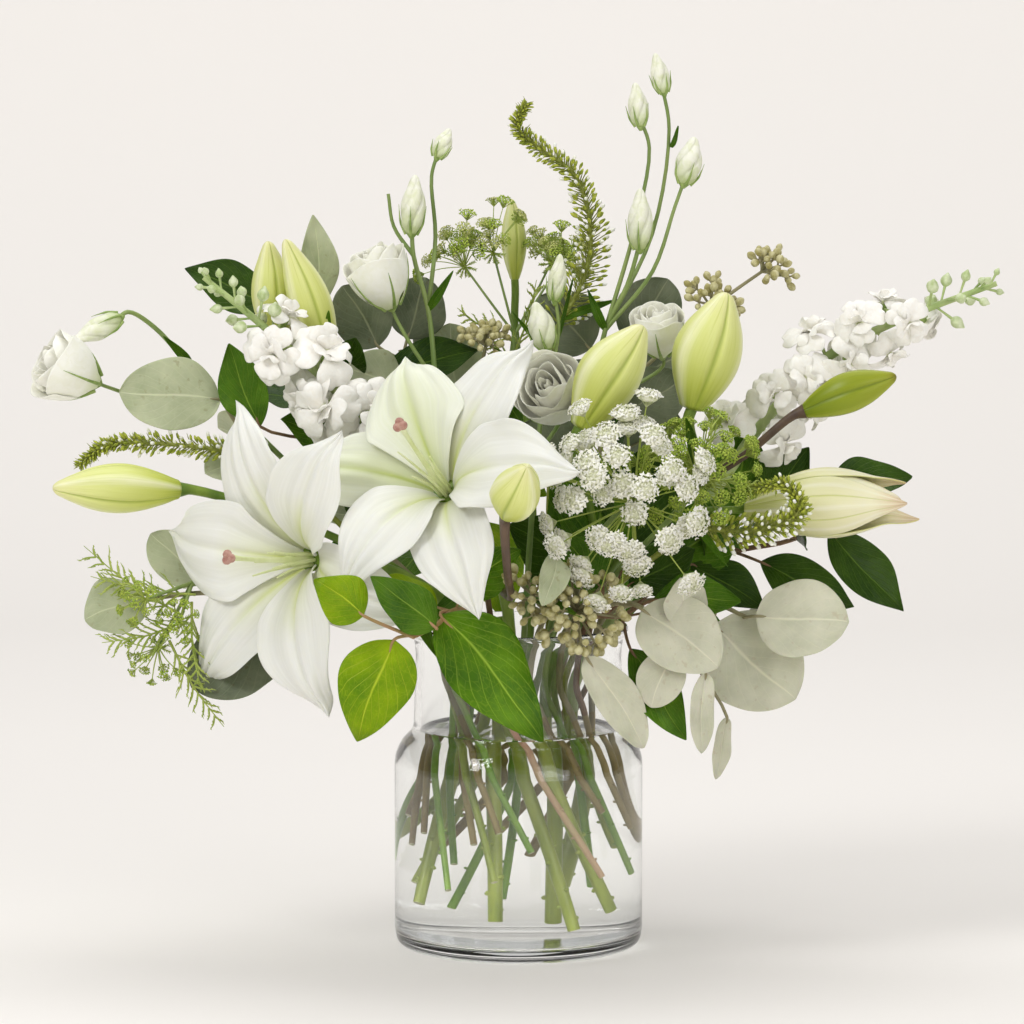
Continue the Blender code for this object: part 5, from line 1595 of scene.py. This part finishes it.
def stalk_run(joint, base, tip, facing, bend, thick=0.9):
    """The leaf stalk, from its joint on the twig into the blade's midrib."""
    joint, base, tip, facing = Vector(joint), Vector(base), Vector(tip), Vector(facing)
    _, normal = blade_axes(base, tip, facing)
    mid = base.lerp(tip, 0.14) + normal * (bend * 0.45 - 0.7)
    far = base.lerp(tip, 0.55) + normal * (bend * 0.98 - 0.95)
    return (flow((joint, base, mid, far), 5), (thick * 1.1, thick, thick * 0.9, thick * 0.6, 0.25))


def leafy(name, path, leaves, skins, twig, kind, slot, more=(), extra=()):
    """A twig with its leaves. A leaf is (joint, base, tip, facing, width, bend, cup), and the extra
    ones are smaller leaves that fill the twig out."""
    parts = main_stem(name, path, twig, (1.8, 1.8, 1.8 * 0.85, 1.8 * 0.6), 3)
    runs = []
    for i, (joint, base, tip, facing, width, bend, cup) in enumerate([*leaves, *extra]):
        runs.append(stalk_run(joint, base, tip, facing, bend, 0.9 if i < len(leaves) else 0.7))
        skin = skins[i % len(skins)]
        parts.append(
            leaf(f"{name}_leaf_{i}", skin, base, tip, facing, width, kind, bend, cup, i * 1.3 + len(name))
        )
    parts.append(stalks(name + "_stalks", twig, runs, 2))
    place_piece(gather(name + "_look", parts + list(more)), slot, name)


def gum(name, ends, leaves, skins, **more):
    leafy(name, stem_path(name, *ends), leaves, skins, GUM_STALK, "round", "gum_leaf", **more)


def salal(name, ends, leaves, skins, twig, kind, **more):
    leafy(name, stem_path(name, *ends), leaves, skins, twig, kind, "salal_leaf", **more)


def gum_twigs():
    # dark is the gum leaf's darker copy, painted shade for the leaves at the back and deep in the bunch.
    grey, pale, dark = GUM_GREY, GUM_PALE, GUM_SHADE_DARK
    gum(
        "gum_left", (),
        [
            ((-160, 10, 296), (-164, 8, 302), (-219, -8, 308), (-0.1, -0.9, 0.3), 41, 2, 3),
            ((-140, 16, 266), (-140, 26, 270), (-168, 60, 282), (0.3, 0.6, 0.7), 38, 2, 3),
        ],
        [grey],
        extra=[
            ((-140, 16, 266), (-144, 14, 270), (-172, 0, 262), (-0.2, -0.8, 0.5), 30, 2, 2),
            ((-88, 20, 228), (-92, 24, 232), (-116, 44, 252), (-0.1, -0.5, 0.8), 30, 2, 2),
        ],
    )
    gum(
        "gum_low_left", ((-178, -34, 200), (-198, -40, 198)),
        [
            ((-196, -39, 198), (-203, -40, 197), (-236, -46, 187), (-0.2, -0.8, 0.5), 36, 2, 2),
            ((-172, -32, 200), (-174, -28, 205), (-201, -26, 232), (-0.3, -0.8, 0.3), 28, 1, 2),
            ((-128, -24, 200), (-128, -36, 184), (-178, -50, 150), (-0.3, -0.8, 0.2), 50, 2, 2),
        ],
        [grey, grey, dark],
        extra=[
            ((-150, -30, 200), (-152, -26, 196), (-160, -14, 168), (-0.4, -0.5, 0.5), 26, 2, 2),
            ((-110, -20, 200), (-110, -12, 202), (-128, 12, 206), (-0.1, 0.5, 0.9), 32, 2, 2),
        ],
    )
    gum(
        "gum_back_left", ((-66, 54, 326),),
        [
            ((-64, 53, 320), (-78, 52, 328), (-98, 52, 362), (-0.1, -0.9, 0.2), 34, 1, 2),
            ((-64, 53, 324), (-62, 56, 332), (-52, 62, 366), (0.1, -0.9, 0.2), 34, 1, 2),
            ((-52, 50, 280), (-34, 56, 300), (-38, 66, 340), (0.1, -0.9, 0.2), 36, 1, 2),
            ((-44, 49, 256), (-58, 62, 262), (-86, 84, 280), (-0.3, 0.8, 0.4), 36, 2, 3),
        ],
        [dark, dark, grey],
        more=berries(
            "gum_back_left_berries", (-40, 48, 240), (-18, 34, 330), (-0.1, -0.3, 0.9), 15, 36, 80, 0.85,
            1
        ),
        extra=[
            ((-48, 49, 268), (-42, 40, 276), (-22, 22, 300), (0.1, -0.9, 0.3), 34, 2, 2),
            ((-58, 51, 300), (-66, 44, 304), (-96, 34, 318), (-0.1, -0.9, 0.3), 32, 2, 2),
            ((-60, 52, 306), (-56, 66, 312), (-44, 92, 330), (0.1, 0.8, 0.5), 32, 2, 2),
            ((-50, 49, 274), (-62, 40, 274), (-88, 24, 286), (-0.1, -0.9, 0.3), 32, 2, 2),
        ],
    )
    right = berries(
        "gum_back_right_spray_1", (52, 58, 299), (106, 24, 352), (0.2, -0.2, 0.9), 14, 32, 80, 0.85, 2
    )
    right += berries(
        "gum_back_right_spray_2", (105, 24, 351), (134, 20, 372), (0.7, -0.1, 0.7), 15, 32, 80, 0.85, 3
    )
    gum(
        "gum_back_right", ((56, 62, 318),),
        [
            ((54, 60, 310), (40, 57, 326), (12, 56, 356), (0.0, -0.9, 0.3), 38, 1, 2),
            ((56, 62, 316), (64, 70, 326), (84, 76, 364), (0.2, -0.9, 0.3), 38, 1, 2),
            ((44, 52, 266), (58, 66, 268), (92, 88, 282), (0.4, 0.7, 0.5), 38, 2, 3),
        ],
        [dark],
        more=right,
        extra=[
            ((48, 56, 286), (62, 50, 292), (92, 40, 312), (0.2, -0.9, 0.3), 34, 2, 2),
            ((50, 56, 292), (40, 48, 296), (22, 36, 318), (0.0, -0.9, 0.3), 34, 2, 2),
            ((42, 50, 256), (30, 44, 262), (2, 38, 286), (-0.1, -0.9, 0.3), 34, 2, 2),
            ((54, 60, 308), (70, 62, 312), (104, 60, 326), (0.1, -0.8, 0.5), 32, 2, 2),
        ],
    )
    gum(
        "gum_right", (),
        [
            ((60, -79, 200), (66, -88, 198), (107, -100, 168), (0.1, -0.9, 0.3), 42, 2, 2),
            ((80, -88, 190), (92, -84, 190), (86, -92, 215), (0.3, -0.9, 0.1), 26, 1, 2),
            ((80, -88, 190), (82, -94, 176), (71, -98, 146), (0.0, -0.9, 0.2), 26, 1, 2),
            ((80, -88, 190), (100, -100, 166), (98, -104, 122), (0.3, -0.9, 0.1), 14, 1, 1),
            ((80, -88, 190), (112, -92, 140), (106, -90, 106), (0.3, -0.9, 0.1), 10, 1, 1),
        ],
        [pale],
    )
    gum(
        "gum_far_right", (),
        [
            ((108, -52, 196), (106, -58, 186), (150, -66, 146), (0.1, -0.9, 0.3), 56, 2, 2),
            ((122, -59, 190), (128, -70, 192), (178, -80, 190), (0.1, -0.9, 0.3), 44, 2, 2),
        ],
        [pale],
        extra=[((118, -58, 192), (128, -46, 190), (158, -20, 178), (0.4, 0.2, 0.8), 32, 2, 2)],
    )
    gum(
        "gum_front", (),
        [
            ((28, -66, 196), (36, -98, 174), (67, -98, 124), (0.2, -0.9, 0.2), 24, 2, 2),
            ((29, -72, 199), (20, -100, 228), (13, -122, 204), (0.3, -0.6, 0.6), 16, 4, 2),
        ],
        [pale, grey],
        more=[
            *berries(
                "gum_front_berries", (29, -78, 202), (31, -90, 198), (0, -0.8, -0.2), 25, 84, 95, 0.95, 4
            ),
            *berries(
                "gum_front_berries_2", (29, -78, 202), (8, -92, 206), (-0.4, -0.8, 0.2), 15, 28, 90, 0.9,
                5
            ),
        ],
    )


def salal_twigs():
    # dark is the salal leaf's darker copy, painted shade for the leaves deep in the bunch and at its back.
    bright, mid, dark = SALAL_BRIGHT, SALAL_MID, SALAL_SHADE_DARK
    salal(
        "salal_front", (),
        [
            ((-34, -84, 197), (-42, -104, 197), (14, -116, 131), (0.2, -0.9, 0.4), 46, 4, -2),
            ((-54, -132, 190), (-66, -138, 188), (-86, -134, 132), (0.1, -0.9, 0.3), 41, 3, -2),
            ((-56, -136, 189), (-82, -148, 202), (-107, -152, 222), (0.0, -0.9, 0.3), 28, 2, -2),
            ((-45, -114, 192), (-44, -136, 194), (-77, -148, 223), (0.0, -0.8, 0.4), 26, 3, -2),
        ],
        [SALAL_RICH, bright, bright, mid], PINK_TWIG, "oval",
        extra=[
            ((-34, -84, 197), (-30, -78, 206), (0, -84, 230), (0.1, -0.9, 0.4), 28, 2, -1),
            ((-28, -66, 192), (-44, -64, 196), (-84, -66, 208), (-0.1, -0.8, 0.6), 28, 2, -1),
        ],
    )
    salal(
        "salal_left", ((-124, 60, 330),),
        [
            ((-91, 51, 273), (-142, 2, 288), (-159, 2, 334), (-0.1, -0.9, 0.2), 27, 2, 2),
            ((-122, 60, 328), (-136, 60, 350), (-186, 54, 371), (0.0, -0.8, 0.5), 30, 2, 2),
            ((-123, 60, 328), (-112, 56, 348), (-114, 48, 402), (0.1, -0.9, 0.1), 22, 2, 2),
            ((-74, 46, 240), (-74, 47, 316), (-22, 45, 326), (0.1, -0.8, 0.4), 26, 2, 2),
            ((-100, 54, 294), (-100, 70, 296), (-118, 108, 316), (0.0, 0.6, 0.8), 34, 3, 2),
        ],
        [mid, dark, GUM_GREY, dark, mid], WOODY_TWIG, "lance",
        extra=[
            ((-91, 51, 273), (-96, 40, 276), (-132, 18, 290), (-0.1, -0.8, 0.5), 30, 2, 2),
            ((-108, 56, 306), (-104, 48, 310), (-90, 24, 336), (0.2, -0.9, 0.2), 28, 2, 2),
            ((-60, 42, 220), (-70, 32, 226), (-106, 8, 240), (-0.1, -0.8, 0.5), 32, 2, 2),
            ((-60, 42, 220), (-68, 24, 226), (-92, 4, 274), (-0.1, -0.9, 0.3), 38, 2, 2),
            ((-60, 42, 220), (-72, 20, 216), (-112, 2, 206), (-0.1, -0.9, 0.3), 38, 2, 2),
            ((-74, 46, 240), (-64, 36, 250), (-52, 10, 282), (0.2, -0.9, 0.2), 30, 2, 2),
            ((-100, 54, 294), (-112, 56, 296), (-150, 58, 300), (-0.1, -0.4, 0.9), 30, 2, 2),
        ],
    )
    salal(
        "salal_right", ((168, -2, 236),),
        [
            ((160, -2, 232), (170, 2, 256), (217, 10, 259), (-0.1, -0.8, 0.6), 26, 2, 2),
            ((118, 2, 219), (132, -22, 216), (183, -34, 192), (0.1, -0.8, 0.5), 30, 2, 2),
            ((166, -2, 235), (170, -8, 232), (211, -12, 187), (0.2, -0.8, 0.4), 30, 2, 2),
            ((96, 4, 212), (100, 22, 214), (134, 70, 226), (0.2, 0.5, 0.8), 34, 3, 2),
        ],
        [dark, dark, dark, mid], WOODY_TWIG, "lance",
        extra=[
            ((116, 2, 218), (124, 14, 222), (164, 34, 236), (0.2, 0.1, 1.0), 32, 2, 2),
            ((116, 2, 218), (112, -12, 222), (96, -36, 238), (0.1, -0.9, 0.4), 30, 2, 2),
            ((150, -4, 226), (152, -18, 228), (148, -50, 244), (0.2, -0.8, 0.5), 28, 2, 2),
            ((116, 2, 218), (114, 10, 234), (128, 14, 286), (0.1, -0.9, 0.2), 38, 2, 2),
            ((116, 2, 218), (132, 8, 232), (160, 10, 276), (0.1, -0.9, 0.2), 30, 2, 2),
        ],
    )
    salal(
        "salal_low_right", (),
        [
            ((56, -58, 190), (94, -34, 216), (134, -44, 192), (0.1, -0.8, 0.4), 26, 2, 2),
            ((56, -58, 190), (72, -66, 200), (120, -74, 200), (0.1, -0.8, 0.5), 28, 2, 2),
            ((56, -58, 190), (60, -82, 176), (90, -96, 128), (0.1, -0.9, 0.2), 26, 2, 2),
        ],
        [dark, mid, mid], WOODY_TWIG, "lance",
        extra=[
            ((46, -46, 188), (60, -46, 206), (96, -50, 226), (0.1, -0.8, 0.5), 30, 2, 2),
            ((48, -48, 188), (44, -56, 206), (24, -66, 236), (0.0, -0.9, 0.3), 30, 2, 2),
            ((56, -58, 190), (74, -52, 192), (116, -44, 176), (0.2, -0.7, 0.6), 28, 2, 2),
            ((46, -46, 188), (60, -30, 222), (78, -18, 284), (0.0, -0.9, 0.2), 44, 2, 2),
            ((46, -46, 188), (46, -32, 214), (42, -20, 276), (0.0, -0.9, 0.2), 42, 2, 2),
            ((46, -46, 188), (74, -34, 212), (122, -22, 250), (0.0, -0.9, 0.2), 40, 2, 2),
        ],
    )
    salal(
        "salal_back_left", (),
        [
            ((-26, 78, 232), (-34, 86, 228), (-72, 106, 186), (-0.4, 0.7, 0.5), 38, 3, -2),
            ((-26, 78, 232), (-20, 92, 226), (-8, 116, 168), (0.1, 0.8, 0.4), 42, 4, -2),
            ((-34, 96, 258), (-44, 100, 264), (-92, 110, 262), (-0.2, 0.6, 0.7), 34, 3, 2),
            ((-34, 96, 258), (-32, 102, 270), (-34, 112, 322), (0.1, 0.9, 0.2), 36, 3, 2),
            ((-34, 96, 258), (-26, 104, 256), (16, 118, 240), (0.2, 0.8, 0.5), 34, 3, -2),
        ],
        [mid, bright, mid, dark, bright], WOODY_TWIG, "oval",
        extra=[
            ((-22, 64, 212), (-36, 62, 214), (-84, 62, 212), (-0.3, 0.4, 0.9), 36, 3, -2),
            ((-30, 88, 246), (-48, 86, 250), (-92, 82, 240), (-0.3, 0.5, 0.8), 34, 3, 2),
            ((-26, 78, 232), (-10, 80, 242), (24, 88, 262), (0.2, 0.5, 0.8), 34, 3, 2),
        ],
    )
    salal(
        "salal_back_right", (),
        [
            ((60, 66, 226), (64, 78, 220), (58, 108, 166), (0.3, 0.8, 0.4), 40, 4, -2),
            ((60, 66, 226), (74, 66, 224), (120, 62, 190), (0.5, 0.6, 0.6), 36, 3, -2),
            ((72, 86, 246), (82, 92, 246), (128, 104, 236), (0.3, 0.7, 0.6), 36, 3, 2),
            ((72, 86, 246), (72, 94, 258), (64, 108, 312), (0.1, 0.9, 0.2), 34, 3, 2),
            ((72, 86, 246), (64, 94, 240), (28, 112, 212), (0.1, 0.8, 0.5), 34, 3, -2),
        ],
        [mid, dark, mid, dark, bright], WOODY_TWIG, "oval",
        extra=[
            ((52, 48, 206), (68, 46, 210), (116, 40, 220), (0.3, 0.4, 0.9), 36, 3, 2),
            ((52, 48, 206), (40, 30, 204), (-6, 18, 232), (0.0, -0.9, 0.3), 44, 2, 2),
            ((52, 48, 206), (44, 30, 212), (20, 16, 266), (0.0, -0.9, 0.3), 44, 2, 2),
            ((56, 58, 216), (48, 46, 226), (30, 12, 240), (0.0, -0.9, 0.4), 34, 3, 2),
            ((64, 74, 236), (78, 68, 246), (112, 56, 268), (0.3, 0.3, 0.9), 34, 3, 2),
        ],
    )


# ------------------------------------------------------------------ studio


LAMPS = (
    ("key", (-1.5, -1.5, 1.9), (0, 0, 0.25), (0.9, 1.0), 25),
    ("fill", (1.5, -2.2, 1.0), (0, 0, 0.25), (1.4, 1.6), 16),
    ("top", (0.2, 0.5, 2.4), (0, 0, 0.2), (1.8, 1.4), 16),
    ("backdrop", (0.0, 0.9, 2.6), (0, 2.4, 0.6), (3.0, 0.8), 11),
)
SHEET_WIDTH = 16000
FLAT_LENGTH, BEND_Y = 9360, 1400  # the flat paper's length, and where it starts to curve up
BEND_R, BEND_TURN = 900, math.radians(64)


def sweep():
    """A wide sheet of paper under the vase. Behind it the paper curves up into a low backdrop,
    which stays under the sight line of a camera at the back."""
    def place(u, v):
        x = (u - 0.5) * SHEET_WIDTH
        on = 2 * v - 1
        if on < 0:
            return Vector((x, FLAT_LENGTH * on + BEND_Y, 0))
        turn = on * BEND_TURN
        return Vector((x, BEND_Y + BEND_R * math.sin(turn), BEND_R * (1 - math.cos(turn))))

    obj = grid("studio_sweep", SWEEP, 4, 60, place)


def softbox(name, place, target, size, power):
    """A soft lamp at place, turned to target; metres and watts."""
    bpy.ops.object.light_add(type="AREA", location=place)
    obj = bpy.context.object
    obj.name = name
    obj.data.shape = "RECTANGLE"
    obj.data.size, obj.data.size_y = size
    obj.data.energy = power
    obj.rotation_euler = (Vector(target) - Vector(place)).to_track_quat("-Z", "Y").to_euler()


def studio():
    """Paper, lamps, a pale world whose sides are darker so that glass edges show, and the camera."""
    sweep()
    for name, *lamp in LAMPS:
        softbox(name + "_softbox", *lamp)
    world = bpy.data.worlds.new("studio_world")
    bpy.context.scene.world = world
    world.use_nodes = True
    tree = world.node_tree
    tree.nodes.clear()
    way = add(tree, "ShaderNodeTexCoord").outputs["Generated"]
    side = calc(tree, "ABSOLUTE", split(tree, way)[0])
    tone = ramp(tree, side, [(0.0, "#F2F1EF"), (0.55, "#E8E7E5"), (0.85, "#8C8D8B"), (1.0, "#6C6E6C")])
    back = add(tree, "ShaderNodeBackground", {"Color": tone, "Strength": 0.67})
    add(tree, "ShaderNodeOutputWorld", {0: back.outputs[0]})
    lens = bpy.data.cameras.new("portrait_camera")
    camera = bpy.data.objects.new("portrait_camera", lens)
    bpy.context.scene.collection.objects.link(camera)
    place, target = Vector((-0.0036, -3.5, 0.62)), Vector((-0.0036, 0.0, 0.241))
    camera.location = place
    camera.rotation_euler = (target - place).to_track_quat("-Z", "Y").to_euler()
    lens.lens, lens.sensor_width = 225, 36
    lens.clip_end = 50
    bpy.context.scene.camera = camera
    bpy.context.scene.view_settings.view_transform = "Standard"


def main():
    place_piece(jar(), "vase_glass", "vase")
    place_piece(still_water(), "water", "water")
    lilies()
    lily_stems()
    lisianthus()
    stocks()
    laces()
    loosestrife()
    gum_twigs()
    salal_twigs()
    studio()


main()
